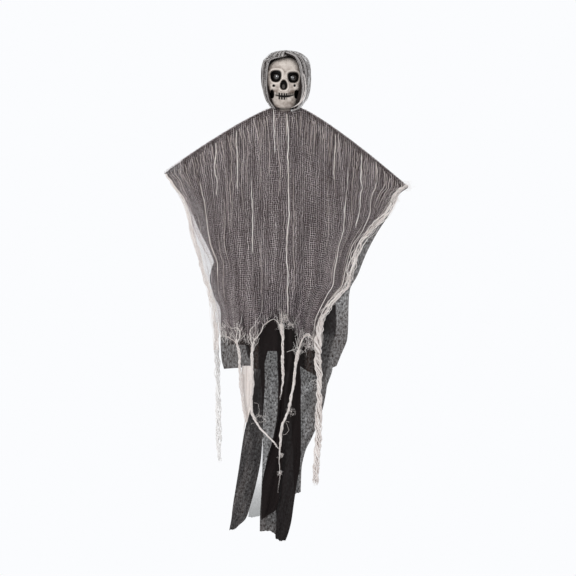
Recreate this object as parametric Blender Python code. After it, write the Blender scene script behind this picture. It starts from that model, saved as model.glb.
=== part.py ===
"""A hanging ghost decoration: a small moulded skull on a bent shoulder wire, dressed in a
black voile robe, a grey gauze cape and a lined gauze hood.

Metres, +Z up. The front faces -Y. The origin is the middle of the hanging eye on the crown,
so heights are written as drops below that eye.
"""

import math
from bisect import bisect_right
from collections import namedtuple

import bmesh
import bpy
from mathutils import Matrix, Vector

# Fits
TOUCHING_GAP = 0.0003
FACET_ALLOWANCE = 0.0003

# Hanging eye, moulded on the crown
EYE_HOLE_DIAMETER = 0.0064
EYE_BAR_DIAMETER = 0.0024
EYE_SINK = 0.0010

# Skull
SKULL_WIDTH = 0.072
SKULL_HEIGHT = 0.0955
SKULL_FACE_DEPTH = 0.037
SKULL_BACK_DEPTH = 0.038
SKULL_SIDE_SHIFT = -0.002
SKULL_WALL = 0.0016
NECK_DIAMETER = 0.023
NECK_BELOW_WIRE = 0.006

# Shoulder wire
WIRE_DIAMETER = 0.0025
WIRE_LOOP_DIAMETER = 0.008
WIRE_END_MARGIN = 0.010

# Arms, as the cloth lies over them
SHOULDER_ABOVE_CHIN = 0.0044
ARM_REACH_LEFT = 0.2226
ARM_REACH_RIGHT = 0.2231
ARM_DROP_LEFT = 0.1174
ARM_DROP_RIGHT = 0.1437
ARM_ARCH = 1.18
SHOULDER_HALF_WIDTH = 0.027
NECK_HOLE_HALF_WIDTH = 0.014
NECKLINE_DROP = 0.004

# Cloth
CLOTH_THICKNESS = 0.0008
LAYER_SPACING = 0.0028
LAYER_SPREAD_DROP = 0.040
RIDGE_STEEPNESS = 1.3
FRONT_BULGE = 0.024
BACK_BULGE = 0.020
BULGE_DROP = 0.090
NECK_PUSH = 0.019
NECK_PUSH_WIDTH = 0.022
NECK_PUSH_DROP = 0.150
FOLD_COUNT = 6.5
FOLD_DEPTH = 0.005
FOLD_DROP = 0.300
TAIL_TURN = 0.5
TAIL_TURN_WIDTH = 0.008

# Cape and robe: where each side edge ends, as drop and reach from the middle
CAPE_FRONT_LEFT_END = (0.5094, 0.1207)
CAPE_FRONT_RIGHT_END = (0.5295, 0.0567)
CAPE_BACK_LEFT_END = (0.5057, 0.1280)
CAPE_BACK_RIGHT_END = (0.4957, 0.1139)

# Hood
LINING_ABOVE_SHOULDER = 0.0027

# Mesh fineness
CLOTH_COLUMNS = 30
WIRE_SEGMENTS = 24
SKULL_COLUMNS = 24
FACE_DENSITY = 0.58

EYE_OUTER_RADIUS = EYE_HOLE_DIAMETER / 2 + EYE_BAR_DIAMETER
CROWN_Z = EYE_SINK - EYE_OUTER_RADIUS
SHOULDER_DROP = SKULL_HEIGHT - CROWN_Z - SHOULDER_ABOVE_CHIN
WIRE_RADIUS = WIRE_DIAMETER / 2
LAYER_PITCH = CLOTH_THICKNESS + TOUCHING_GAP
LAYER_INNER = WIRE_RADIUS + TOUCHING_GAP + CLOTH_THICKNESS / 2
RIDGE_STACK = RIDGE_STEEPNESS * (LAYER_INNER + LAYER_PITCH) + CLOTH_THICKNESS / 2
SHOULDER_WIRE_Z = -SHOULDER_DROP - RIDGE_STACK
HOOD_GAUZE_BOTTOM = TOUCHING_GAP + FACET_ALLOWANCE - SHOULDER_DROP
HOOD_LINING_BOTTOM = LINING_ABOVE_SHOULDER - SHOULDER_DROP
ROBE, CAPE = 0, 1
FRONT, BACK = -1, 1


def curve_value(points, key):
    """Value at a key on a smooth curve through (key, value) pairs that never overshoots."""
    keys = [point[0] for point in points]
    if key <= keys[0]:
        return points[0][1]
    if key >= keys[-1]:
        return points[-1][1]
    slopes = [(b[1] - a[1]) / (b[0] - a[0]) for a, b in zip(points, points[1:])]

    def tangent(i):
        if i in (0, len(points) - 1):
            return slopes[min(i, len(slopes) - 1)]
        before, after = slopes[i - 1], slopes[i]
        return 2 * before * after / (before + after) if before * after > 0 else 0.0

    i = bisect_right(keys, key) - 1
    width = keys[i + 1] - keys[i]
    t = (key - keys[i]) / width
    rise = (2 * t - 3) * t * t + 1
    return (
        rise * points[i][1]
        + (1 - rise) * points[i + 1][1]
        + width * t * (1 - t) * ((1 - t) * tangent(i) - t * tangent(i + 1))
    )


def smooth_step(low, high, value):
    t = min(1.0, max(0.0, (value - low) / (high - low)))
    return t * t * (3 - 2 * t)


def make_material(name, colour, roughness, metallic=0.0):
    material = bpy.data.materials.new(name)
    material.use_nodes = True
    shader = material.node_tree.nodes["Principled BSDF"]
    shader.inputs["Base Color"].default_value = (*colour, 1.0)
    shader.inputs["Roughness"].default_value = roughness
    shader.inputs["Metallic"].default_value = metallic
    return material


def add_object(name, bm, material):
    bm.normal_update()
    bmesh.ops.recalc_face_normals(bm, faces=bm.faces)
    mesh = bpy.data.meshes.new(name)
    bm.to_mesh(mesh)
    bm.free()
    mesh.shade_smooth()
    obj = bpy.data.objects.new(name, mesh)
    obj.data.materials.append(material)
    bpy.context.scene.collection.objects.link(obj)
    return obj


def thicken(obj, thickness, offset):
    solidify = obj.modifiers.new("Wall", "SOLIDIFY")
    solidify.thickness = thickness
    solidify.offset = offset


def add_tool(name, bm, target, operation):
    """A hidden shape that is joined to a target or cut from it."""
    tool = add_object(name, bm, target.data.materials[0])
    tool.hide_render = True
    tool.display_type = "WIRE"
    modifier = target.modifiers.new(name, "BOOLEAN")
    modifier.operation = operation
    modifier.object = tool


# Skull: each ring of the moulding runs round the head, from the crown down to the neck.
# Heights are shares of the skull's height at the front and at the back of the ring, then
# come the ring's half width, its reach to the face and its reach to the back of the head.
SKULL_RINGS = [
    (0.000, 0.000, 0.00, 0.00, 0.00),
    (0.022, 0.022, 0.33, 0.34, 0.34),
    (0.065, 0.062, 0.56, 0.60, 0.58),
    (0.135, 0.125, 0.77, 0.80, 0.79),
    (0.215, 0.205, 0.90, 0.91, 0.92),
    (0.300, 0.285, 0.97, 0.96, 0.99),
    (0.385, 0.365, 1.00, 0.97, 1.00),
    (0.465, 0.445, 0.99, 0.95, 0.98),
    (0.545, 0.520, 0.955, 0.95, 0.95),
    (0.625, 0.590, 0.89, 0.96, 0.88),
    (0.700, 0.650, 0.81, 0.98, 0.78),
    (0.780, 0.710, 0.74, 1.00, 0.68),
    (0.860, 0.770, 0.71, 0.98, 0.58),
    (0.930, 0.840, 0.66, 0.94, 0.48),
    (0.980, 0.875, 0.58, 0.84, 0.41),
    (1.000, 0.885, 0.44, 0.68, 0.37),
    (0.985, 0.895, 0.36, 0.48, 0.34),
]
# The mesh's rings, as shares of the way along that list, are closer together on the face.
SKULL_ROWS = [
    0.06, 0.12, 0.18, 0.24, 0.30, 0.335, 0.37, 0.405, 0.44, 0.475, 0.51, 0.545, 0.58, 0.62,
    0.66, 0.70, 0.75, 0.80, 0.86, 0.93, 1.00,
]
FACE_SQUARENESS = 0.80

# Hollows of the face: middle as a share of the half width and of the height, half sizes as
# the same shares, then depth in metres.
Hollow = namedtuple("Hollow", "side height half_width half_height depth")
FACE_HOLLOWS = [
    Hollow(-0.45, 0.393, 0.285, 0.112, 0.0095),  # left eye socket
    Hollow(0.42, 0.411, 0.285, 0.104, 0.0095),  # right eye socket
    Hollow(-0.07, 0.560, 0.175, 0.100, 0.0075),  # nose
    Hollow(-0.70, 0.712, 0.110, 0.085, 0.0045),  # left jaw hollow
    Hollow(0.60, 0.728, 0.110, 0.085, 0.0045),  # right jaw hollow
    Hollow(-0.05, 0.752, 0.420, 0.022, 0.0012),  # mouth
]


def skull_ring(share):
    """The ring that lies a share of the way along SKULL_RINGS."""
    place = share * (len(SKULL_RINGS) - 1)
    return [
        curve_value([(i, ring[k]) for i, ring in enumerate(SKULL_RINGS)], place)
        for k in range(5)
    ]


def round_head(angle, width, front, back):
    """A point on a ring round the head; angle 0 is the front, positive to +X."""
    ahead = math.cos(angle)
    if ahead > 0:
        y = -front * ahead**FACE_SQUARENESS
    else:
        y = -back * ahead
    return SKULL_SIDE_SHIFT + width * math.sin(angle), y


def skull_point(share, angle):
    front_height, back_height, width, front, back = skull_ring(share)
    toward_back = (1 - math.cos(angle)) / 2
    height = front_height + (back_height - front_height) * toward_back
    x, y = round_head(
        angle,
        width * SKULL_WIDTH / 2,
        front * SKULL_FACE_DEPTH,
        back * SKULL_BACK_DEPTH,
    )
    if y < 0:
        side = (x - SKULL_SIDE_SHIFT) / (SKULL_WIDTH / 2)
        for hollow in FACE_HOLLOWS:
            away = math.hypot(
                (side - hollow.side) / hollow.half_width,
                (height - hollow.height) / hollow.half_height,
            )
            y += hollow.depth * (1 - smooth_step(0.74, 1.10, away))
    return Vector((x, y, CROWN_Z - height * SKULL_HEIGHT))


def head_angles(count):
    """Angles round the head, closer together across the face."""
    for i in range(count):
        even = 2 * math.pi * i / count - math.pi
        yield even - FACE_DENSITY * math.sin(even)


def eye_ring():
    """The moulded hanging eye: a ring that faces the viewer."""
    bm = bmesh.new()
    middle_radius = (EYE_HOLE_DIAMETER + EYE_BAR_DIAMETER) / 2
    bmesh.ops.create_circle(bm, radius=EYE_BAR_DIAMETER / 2, segments=6)
    bmesh.ops.translate(bm, vec=(middle_radius, 0, 0), verts=bm.verts)
    bmesh.ops.spin(
        bm,
        geom=bm.verts[:] + bm.edges[:],
        cent=(0, 0, 0),
        axis=(0, 1, 0),
        angle=2 * math.pi,
        steps=14,
        use_merge=True,
    )
    bmesh.ops.remove_doubles(bm, verts=bm.verts, dist=0.00001)
    return bm


def make_skull(material):
    bm = bmesh.new()
    angles = list(head_angles(SKULL_COLUMNS))
    crown = bm.verts.new((SKULL_SIDE_SHIFT, 0, CROWN_Z))
    rings = []
    for share in SKULL_ROWS:
        rings.append([bm.verts.new(skull_point(share, angle)) for angle in angles])
    neck_top = rings[-1][0].co.z
    neck_bottom = SHOULDER_WIRE_Z - NECK_BELOW_WIRE
    for z in (neck_top - 0.15 * (neck_top - neck_bottom), neck_bottom):
        ring = [round_head(a, *[NECK_DIAMETER / 2] * 3) for a in angles]
        rings.append([bm.verts.new((x, y, z)) for x, y in ring])
    for i in range(SKULL_COLUMNS):
        after = (i + 1) % SKULL_COLUMNS
        bm.faces.new((crown, rings[0][i], rings[0][after]))
        for upper, lower in zip(rings, rings[1:]):
            bm.faces.new((upper[i], lower[i], lower[after], upper[after]))
    skull = add_object("skull", bm, material)
    thicken(skull, SKULL_WALL, -1)
    add_tool("eye_ring_tool", eye_ring(), skull, "UNION")

    hole = bmesh.new()
    bmesh.ops.create_cone(
        hole,
        cap_ends=True,
        segments=12,
        radius1=WIRE_RADIUS + TOUCHING_GAP + FACET_ALLOWANCE,
        radius2=WIRE_RADIUS + TOUCHING_GAP + FACET_ALLOWANCE,
        depth=2 * NECK_DIAMETER,
        matrix=Matrix.Translation((0, 0, SHOULDER_WIRE_Z)) @ Matrix.Rotation(math.pi / 2, 4, "Y"),
    )
    add_tool("wire_hole_tool", hole, skull, "DIFFERENCE")


# Shoulder wire


def arm_fraction(x):
    """How far out along its arm a place lies, from 0 at the neck to 1 at the tip."""
    reach = ARM_REACH_LEFT if x < 0 else ARM_REACH_RIGHT
    return max(0.0, (abs(x) - SHOULDER_HALF_WIDTH) / (reach - SHOULDER_HALF_WIDTH))


def wire_z(x):
    arm_drop = ARM_DROP_LEFT if x < 0 else ARM_DROP_RIGHT
    return SHOULDER_WIRE_Z - arm_drop * arm_fraction(x) ** ARM_ARCH


def end_loop(x_end, side):
    """Points of the open loop that closes an end of the wire, turned under the arm."""
    step = 0.001
    along = Vector((side * step, 0, wire_z(x_end) - wire_z(x_end - side * step))).normalized()
    under = Vector((along.z, 0, -along.x)) * side
    radius = WIRE_LOOP_DIAMETER / 2
    middle = Vector((x_end, 0, wire_z(x_end))) + under * radius
    for turn in range(1, 7):
        angle = math.radians(42 * turn)
        yield middle - under * radius * math.cos(angle) + along * radius * math.sin(angle)


def make_arm_wire(material):
    left_end = -(ARM_REACH_LEFT - WIRE_END_MARGIN)
    right_end = ARM_REACH_RIGHT - WIRE_END_MARGIN
    places = [
        left_end + (right_end - left_end) * i / WIRE_SEGMENTS for i in range(WIRE_SEGMENTS + 1)
    ]
    route = [Vector((x, 0, wire_z(x))) for x in places]
    route = list(end_loop(left_end, -1))[::-1] + route + list(end_loop(right_end, 1))
    curve = bpy.data.curves.new("arm_wire", "CURVE")
    curve.dimensions = "3D"
    curve.bevel_depth = WIRE_RADIUS
    curve.bevel_resolution = 1
    curve.use_fill_caps = True
    spline = curve.splines.new("POLY")
    spline.points.add(len(route) - 1)
    for point, place in zip(spline.points, route):
        point.co = (*place, 1)
    wire = bpy.data.objects.new("arm_wire", curve)
    curve.materials.append(material)
    bpy.context.scene.collection.objects.link(wire)


# Robe and cape: each is one cloth laid over the shoulder wire, with a front and a back panel.
# A panel's side edge is a list of shares: how far down from the arm tip to the edge's end,
# and how far in from the tip's reach to the end's reach. Below its end the edge goes on
# through (drop, reach) pairs in metres.
Outline = namedtuple("Outline", "end shape below")
Panel = namedtuple("Panel", "facing left right cape_hem robe_hem bulge phase")

FRONT_LEFT = Outline(
    CAPE_FRONT_LEFT_END,
    [
        (0.04, 0.12), (0.12, 0.25), (0.20, 0.39), (0.35, 0.54), (0.48, 0.71),
        (0.57, 0.83), (0.67, 0.84), (0.77, 0.87), (0.85, 0.96),
    ],
    [(0.557, 0.1178), (0.577, 0.1127)],
)
FRONT_RIGHT = Outline(
    CAPE_FRONT_RIGHT_END,
    [
        (0.04, 0.11), (0.17, 0.24), (0.28, 0.42), (0.38, 0.56), (0.52, 0.64),
        (0.62, 0.68), (0.68, 0.78), (0.78, 0.90), (0.86, 0.97),
    ],
    [(0.588, 0.0549)],
)
BACK_LEFT = Outline(
    CAPE_BACK_LEFT_END,
    [
        (0.04, 0.10), (0.12, 0.24), (0.20, 0.38), (0.24, 0.45), (0.38, 0.52),
        (0.54, 0.65), (0.68, 0.79), (0.79, 0.90),
    ],
    [(0.5185, 0.1225), (0.570, 0.1170)],
)
BACK_RIGHT = Outline(
    CAPE_BACK_RIGHT_END,
    [
        (0.04, 0.13), (0.19, 0.31), (0.33, 0.52), (0.48, 0.70), (0.64, 0.85),
        (0.74, 0.97), (0.82, 0.99),
    ],
    [(0.519, 0.1123), (0.550, 0.1006), (0.600, 0.0800)],
)

# Hems run from the left edge (-1) to the right edge (1), as drops below the hanging eye.
FRONT_PANEL = Panel(
    FRONT, FRONT_LEFT, FRONT_RIGHT,
    [
        (-1.00, 0.509), (-0.78, 0.526), (-0.62, 0.502), (-0.45, 0.489), (-0.30, 0.477),
        (-0.22, 0.449), (-0.10, 0.487), (0.08, 0.493), (0.36, 0.511), (0.44, 0.531),
        (1.00, 0.530),
    ],
    [
        (-1.00, 0.575), (-0.60, 0.571), (-0.34, 0.565), (-0.27, 0.542), (-0.15, 0.542),
        (-0.10, 0.560), (0.20, 0.560), (0.60, 0.575), (1.00, 0.588),
    ],
    FRONT_BULGE, 0.6,
)
BACK_PANEL = Panel(
    BACK, BACK_LEFT, BACK_RIGHT,
    [
        (-1.0, 0.506), (-0.8, 0.520), (-0.5, 0.500), (-0.2, 0.520), (0.1, 0.490),
        (0.4, 0.525), (0.6, 0.515), (0.8, 0.460), (1.0, 0.425),
    ],
    [(-1.0, 0.530), (-0.6, 0.532), (-0.5, 0.575), (0.0, 0.580), (0.5, 0.590), (1.0, 0.570)],
    BACK_BULGE, 2.1,
)
CAPE_LEVELS = (0, 0.02, 0.06, 0.13, 0.24, 0.40, 0.60, 0.80, 1.0)
ROBE_LEVELS = CAPE_LEVELS + (2.0,)
RIDGE_ANGLES = (45, 90, 135)


def edge_reach(outline, side, z):
    """How far a panel's side edge lies from the middle at a height."""
    tip_reach = ARM_REACH_LEFT if side < 0 else ARM_REACH_RIGHT
    tip_drop = -wire_z(side * tip_reach)
    end_drop, end_reach = outline.end
    shape = [(0.0, 0.0)] + outline.shape + [(1.0, 1.0)]
    points = [
        (tip_drop + down * (end_drop - tip_drop), tip_reach + inward * (end_reach - tip_reach))
        for down, inward in shape
    ]
    return curve_value(points + outline.below, -z)


def layer_offset(layer, drop):
    """How far a layer's middle surface stands off the wire's middle plane."""
    spread = min(1.0, drop / LAYER_SPREAD_DROP)
    pitch = LAYER_PITCH + (LAYER_SPACING - LAYER_PITCH) * spread
    return LAYER_INNER + layer * pitch


def neck_nearness(x):
    return math.exp(-((x / NECK_PUSH_WIDTH) ** 2))


def drape(panel, layer, across, x, drop):
    """The depth of a cloth at a place: its bulge, the push of the neck and its folds."""
    bulge = panel.bulge * (1 - math.exp(-drop / BULGE_DROP)) * (1 - 0.75 * across**2)
    push = NECK_PUSH * neck_nearness(x) * math.exp(-drop / NECK_PUSH_DROP)
    swing = math.pi * FOLD_COUNT * across + panel.phase + 3 * drop
    fold = math.sin(swing) + 0.35 * math.sin(0.47 * swing + 2.0)
    depth = FOLD_DEPTH * min(1.0, drop / FOLD_DROP) * (1 - 0.5 * across**2)
    return panel.facing * (layer_offset(layer, drop) + bulge + push) + depth * fold


def panel_point(panel, layer, across, level):
    """A point of a panel: across runs from -1 to 1, level from 0 at the ridge to 1 at the
    cape's hem and 2 at the robe's."""
    x_top = across * (ARM_REACH_LEFT if across < 0 else ARM_REACH_RIGHT)
    z_top = wire_z(x_top) + layer * LAYER_PITCH * RIDGE_STEEPNESS * neck_nearness(x_top)
    if abs(x_top) < NECK_HOLE_HALF_WIDTH:
        z_top -= NECKLINE_DROP
    z_cape = -curve_value(panel.cape_hem, across)
    z_robe = -curve_value(panel.robe_hem, across)
    if level <= 1:
        z = z_top + (z_cape - z_top) * level
    else:
        z = z_cape + (z_robe - z_cape) * (level - 1)
    if across < 0:
        x = across * edge_reach(panel.left, -1, z)
    else:
        x = across * edge_reach(panel.right, 1, z)
    return Vector((x, drape(panel, layer, across, x, z_top - z), z))


# Tails and tatters: narrow lengths that hang on from a hem. Each starts at some of the hem's
# columns and runs through (x, drop, width) places to its own depth.
Tail = namedtuple("Tail", "facing first last depth places")

ROBE_TAILS = [
    Tail(FRONT, 7, 10, -0.012, [
        (-0.049, 0.604, 0.021), (-0.054, 0.650, 0.026), (-0.060, 0.698, 0.035),
        (-0.065, 0.742, 0.038), (-0.073, 0.787, 0.036), (-0.081, 0.824, 0.032),
        (-0.087, 0.851, 0.026), (-0.097, 0.872, 0.013),
    ]),
    Tail(FRONT, 13, 15, -0.020, [
        (-0.008, 0.604, 0.012), (-0.010, 0.650, 0.011), (-0.014, 0.696, 0.017),
        (-0.021, 0.742, 0.028), (-0.0275, 0.787, 0.032), (-0.029, 0.824, 0.031),
        (-0.031, 0.851, 0.028),
    ]),
    Tail(FRONT, 15, 22, -0.012, [
        (0.009, 0.604, 0.037), (0.008, 0.650, 0.038), (0.008, 0.696, 0.039),
        (0.007, 0.742, 0.039), (0.002, 0.787, 0.035), (-0.002, 0.824, 0.032),
        (-0.004, 0.855, 0.027), (-0.0085, 0.881, 0.022), (-0.010, 0.8916, 0.018),
    ]),
    Tail(BACK, 7, 9, 0.010, [
        (-0.055, 0.620, 0.016), (-0.054, 0.668, 0.016), (-0.054, 0.742, 0.016),
        (-0.055, 0.797, 0.019), (-0.058, 0.850, 0.022),
    ]),
    Tail(BACK, 9, 14, 0.006, [
        (-0.027, 0.620, 0.034), (-0.027, 0.668, 0.032), (-0.028, 0.742, 0.030),
        (-0.030, 0.797, 0.030), (-0.032, 0.842, 0.031), (-0.033, 0.881, 0.030),
    ]),
    Tail(BACK, 16, 29, 0.006, [
        (0.037, 0.615, 0.074), (0.037, 0.637, 0.066), (0.035, 0.670, 0.051),
        (0.029, 0.701, 0.037), (0.024, 0.727, 0.022), (0.021, 0.760, 0.015),
        (0.021, 0.806, 0.012),
    ]),
]
CAPE_TATTERS = [
    Tail(BACK, 0, 1, 0.016, [
        (-0.125, 0.540, 0.009), (-0.125, 0.586, 0.009), (-0.124, 0.632, 0.010),
        (-0.122, 0.668, 0.010), (-0.121, 0.714, 0.009), (-0.121, 0.747, 0.006),
    ]),
    Tail(BACK, 6, 8, 0.034, [
        (-0.068, 0.526, 0.017), (-0.071, 0.560, 0.020), (-0.072, 0.600, 0.024),
        (-0.072, 0.645, 0.019), (-0.072, 0.675, 0.006),
    ]),
    Tail(FRONT, 4, 5, -0.034, [
        (-0.090, 0.542, 0.007), (-0.084, 0.570, 0.006), (-0.084, 0.597, 0.006),
        (-0.077, 0.645, 0.005), (-0.075, 0.665, 0.005), (-0.078, 0.698, 0.004),
    ]),
    Tail(FRONT, 7, 8, -0.038, [
        (-0.062, 0.546, 0.006), (-0.062, 0.570, 0.006), (-0.061, 0.610, 0.006),
        (-0.064, 0.652, 0.006), (-0.052, 0.675, 0.006), (-0.035, 0.695, 0.006),
        (-0.020, 0.712, 0.004),
    ]),
    Tail(FRONT, 13, 14, -0.038, [
        (-0.007, 0.519, 0.007), (-0.006, 0.562, 0.006), (-0.005, 0.584, 0.006),
        (-0.008, 0.610, 0.005), (-0.011, 0.631, 0.004),
    ]),
    Tail(FRONT, 20, 21, -0.044, [
        (0.020, 0.551, 0.007), (0.016, 0.584, 0.006), (0.009, 0.631, 0.006),
        (0.002, 0.658, 0.006), (-0.008, 0.681, 0.006), (-0.010, 0.716, 0.006),
        (-0.012, 0.743, 0.005), (-0.011, 0.763, 0.006), (-0.015, 0.800, 0.003),
    ]),
    Tail(FRONT, 29, 30, -0.022, [
        (0.058, 0.551, 0.011), (0.059, 0.581, 0.011), (0.061, 0.606, 0.010),
        (0.060, 0.636, 0.010), (0.060, 0.668, 0.010), (0.060, 0.716, 0.009),
        (0.057, 0.753, 0.008), (0.053, 0.790, 0.006),
    ]),
]


def hang_tail(bm, hem, tail):
    """Grow a tail from its part of a hem."""
    row = hem[tail.first : tail.last + 1]
    starts = [vert.co.y for vert in row]
    steps = len(row) - 1
    turn = TAIL_TURN * min(1.0, TAIL_TURN_WIDTH / tail.places[0][2])
    for number, (x, drop, width) in enumerate(tail.places, start=1):
        settled = smooth_step(0, 3, number)
        lower = []
        for i, start in enumerate(starts):
            y = start + (tail.depth - start) * settled
            y += turn * width * math.sin(1.7 * number) * (i / steps - 0.5)
            lower.append(bm.verts.new((x + width * (i / steps - 0.5), y, -drop)))
        for i in range(steps):
            bm.faces.new((row[i], row[i + 1], lower[i + 1], lower[i]))
        row = lower


def make_cloth(name, layer, material, levels, back_first, tails):
    """One cloth over the wire. The back panel may start some columns in from the left."""
    bm = bmesh.new()
    grid = {}
    for panel in (FRONT_PANEL, BACK_PANEL):
        for j in range(CLOTH_COLUMNS + 1):
            across = 2 * j / CLOTH_COLUMNS - 1
            if panel.facing == BACK and j < back_first:
                continue
            grid[panel.facing, j] = [
                bm.verts.new(panel_point(panel, layer, across, level)) for level in levels
            ]
    arcs = {}
    for j in range(back_first, CLOTH_COLUMNS + 1):
        front, back = grid[FRONT, j][0], grid[BACK, j][0]
        if abs(front.co.x) < NECK_HOLE_HALF_WIDTH:
            continue
        arcs[j] = [front]
        top = wire_z(front.co.x) + RIDGE_STEEPNESS * layer_offset(layer, 0)
        for degrees in RIDGE_ANGLES:
            angle = math.radians(degrees)
            reach = abs(front.co.y) if degrees < 90 else abs(back.co.y)
            rise = (top - front.co.z) * math.sin(angle)
            place = (front.co.x, -reach * math.cos(angle), front.co.z + rise)
            arcs[j].append(bm.verts.new(place))
        arcs[j].append(back)
    for columns in (
        {j: grid[FRONT, j] for j in range(CLOTH_COLUMNS + 1)},
        {j: grid[BACK, j] for j in range(back_first, CLOTH_COLUMNS + 1)},
        arcs,
    ):
        for j, column in columns.items():
            beside = columns.get(j + 1)
            if beside is None:
                continue
            for k in range(len(column) - 1):
                bm.faces.new((column[k], column[k + 1], beside[k + 1], beside[k]))
    for tail in tails:
        hem = [
            grid[tail.facing, j][-1] if (tail.facing, j) in grid else None
            for j in range(CLOTH_COLUMNS + 1)
        ]
        hang_tail(bm, hem, tail)
    cloth = add_object(name, bm, material)
    thicken(cloth, CLOTH_THICKNESS, 0)


# Hood: rings from above the hanging eye down to the neck, as shares of the hood's height,
# of the skull's half width and of its reach to the face and to the back.
LINING_RINGS = [
    (0.00, 0.00, 0.00, 0.00), (0.015, 0.28, 0.26, 0.28), (0.06, 0.56, 0.52, 0.55),
    (0.12, 0.74, 0.72, 0.73), (0.19, 0.88, 0.86, 0.87), (0.27, 0.96, 0.95, 0.96),
    (0.36, 1.00, 1.00, 1.00), (0.45, 1.01, 1.01, 1.01), (0.54, 1.00, 0.99, 1.00),
    (0.63, 0.97, 1.00, 0.98), (0.72, 0.91, 1.02, 0.94), (0.81, 0.83, 1.04, 0.86),
    (0.90, 0.75, 1.04, 0.76), (1.00, 0.63, 1.02, 0.66),
]
GAUZE_RINGS = [
    (0.00, 0.00, 0.00, 0.00), (0.012, 0.32, 0.30, 0.32), (0.05, 0.70, 0.62, 0.68),
    (0.115, 0.95, 0.88, 0.92), (0.20, 1.12, 1.05, 1.08), (0.29, 1.19, 1.12, 1.15),
    (0.38, 1.22, 1.15, 1.18), (0.48, 1.22, 1.14, 1.18), (0.58, 1.21, 1.13, 1.16),
    (0.67, 1.17, 1.14, 1.12), (0.76, 1.10, 1.15, 1.06), (0.85, 1.00, 1.16, 0.97),
    (0.93, 0.86, 1.14, 0.86), (1.00, 0.70, 1.10, 0.76),
]
# Half angles of the face opening on the left and on the right, by share of height.
LINING_OPENING_LEFT = [(0.12, 0), (0.19, 50), (0.27, 62), (0.45, 64), (0.81, 66), (1.0, 52)]
LINING_OPENING_RIGHT = [(0.06, 0), (0.12, 30), (0.19, 43), (0.36, 50), (0.81, 52), (1.0, 48)]
GAUZE_OPENING_LEFT = [(0.115, 0), (0.20, 44), (0.29, 48), (0.48, 50), (0.85, 56), (1.0, 50)]
GAUZE_OPENING_RIGHT = [(0.05, 0), (0.115, 24), (0.20, 31), (0.29, 34), (0.48, 38), (0.85, 44), (1.0, 48)]
LINING_COLUMNS = 16
GAUZE_COLUMNS = 22
HOOD_SIDE_SHIFT = 0.002
HOOD_FOLD_COUNT = 9
HOOD_FOLD_DEPTH = 0.0009


def make_hood(name, material, rings, openings, columns, stand_off, top, bottom, fold, shift):
    bm = bmesh.new()
    rows = []
    for share, width, front, back in rings:
        left, right = (math.radians(curve_value(opening, share)) for opening in openings)
        row = []
        for i in range(columns + 1):
            angle = right + (2 * math.pi - left - right) * i / columns
            ripple = fold * math.sin(HOOD_FOLD_COUNT * angle) * min(1.0, 4 * share)
            grow = (stand_off + ripple) if share else 0.0
            x, y = round_head(
                angle,
                width * SKULL_WIDTH / 2 + grow,
                front * SKULL_FACE_DEPTH + grow,
                back * SKULL_BACK_DEPTH + grow,
            )
            row.append(bm.verts.new((x + shift, y, top + (bottom - top) * share)))
        rows.append(row)
    for upper, lower in zip(rows, rows[1:]):
        for i in range(columns):
            bm.faces.new((upper[i], lower[i], lower[i + 1], upper[i + 1]))
    bmesh.ops.remove_doubles(bm, verts=bm.verts, dist=0.00001)
    bmesh.ops.dissolve_degenerate(bm, edges=bm.edges, dist=0.00001)
    hood = add_object(name, bm, material)
    thicken(hood, CLOTH_THICKNESS, 0)


def make_hoods(lining_material, gauze_material):
    stand_off = TOUCHING_GAP + FACET_ALLOWANCE + CLOTH_THICKNESS / 2
    lining_top = EYE_OUTER_RADIUS + stand_off
    make_hood(
        "hood_lining", lining_material, LINING_RINGS,
        (LINING_OPENING_LEFT, LINING_OPENING_RIGHT), LINING_COLUMNS,
        stand_off, lining_top, HOOD_LINING_BOTTOM, 0.0, 0.0,
    )
    make_hood(
        "gauze_hood", gauze_material, GAUZE_RINGS,
        (GAUZE_OPENING_LEFT, GAUZE_OPENING_RIGHT), GAUZE_COLUMNS,
        stand_off, lining_top + LAYER_PITCH + FACET_ALLOWANCE, HOOD_GAUZE_BOTTOM,
        HOOD_FOLD_DEPTH, HOOD_SIDE_SHIFT,
    )


def main():
    for obj in list(bpy.data.objects):
        bpy.data.objects.remove(obj, do_unlink=True)
    bone = make_material("bone_plastic", (0.62, 0.56, 0.50), 0.45)
    steel = make_material("galvanised_wire", (0.45, 0.45, 0.46), 0.35, 1.0)
    voile = make_material("black_voile", (0.020, 0.018, 0.020), 0.85)
    gauze = make_material("grey_gauze", (0.19, 0.165, 0.165), 0.95)
    make_skull(bone)
    make_arm_wire(steel)
    make_hoods(voile, gauze)
    make_cloth("black_robe", ROBE, voile, ROBE_LEVELS, 2, ROBE_TAILS)
    make_cloth("gauze_cape", CAPE, gauze, CAPE_LEVELS, 0, CAPE_TATTERS)


main()
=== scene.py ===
# %% [markdown]
# # A hanging fabric ghost
# The real decoration is a small moulded skull on a bent wire. The wire carries two cloths, a
# black voile robe and a grey gauze cape, and a gauze hood is wrapped round the head. The packed
# model gives every piece its place, and this lesson gives each one its surface. First comes the
# frame, and the size it has before anything is added.

# %% The frame
import math
from collections import namedtuple

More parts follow.
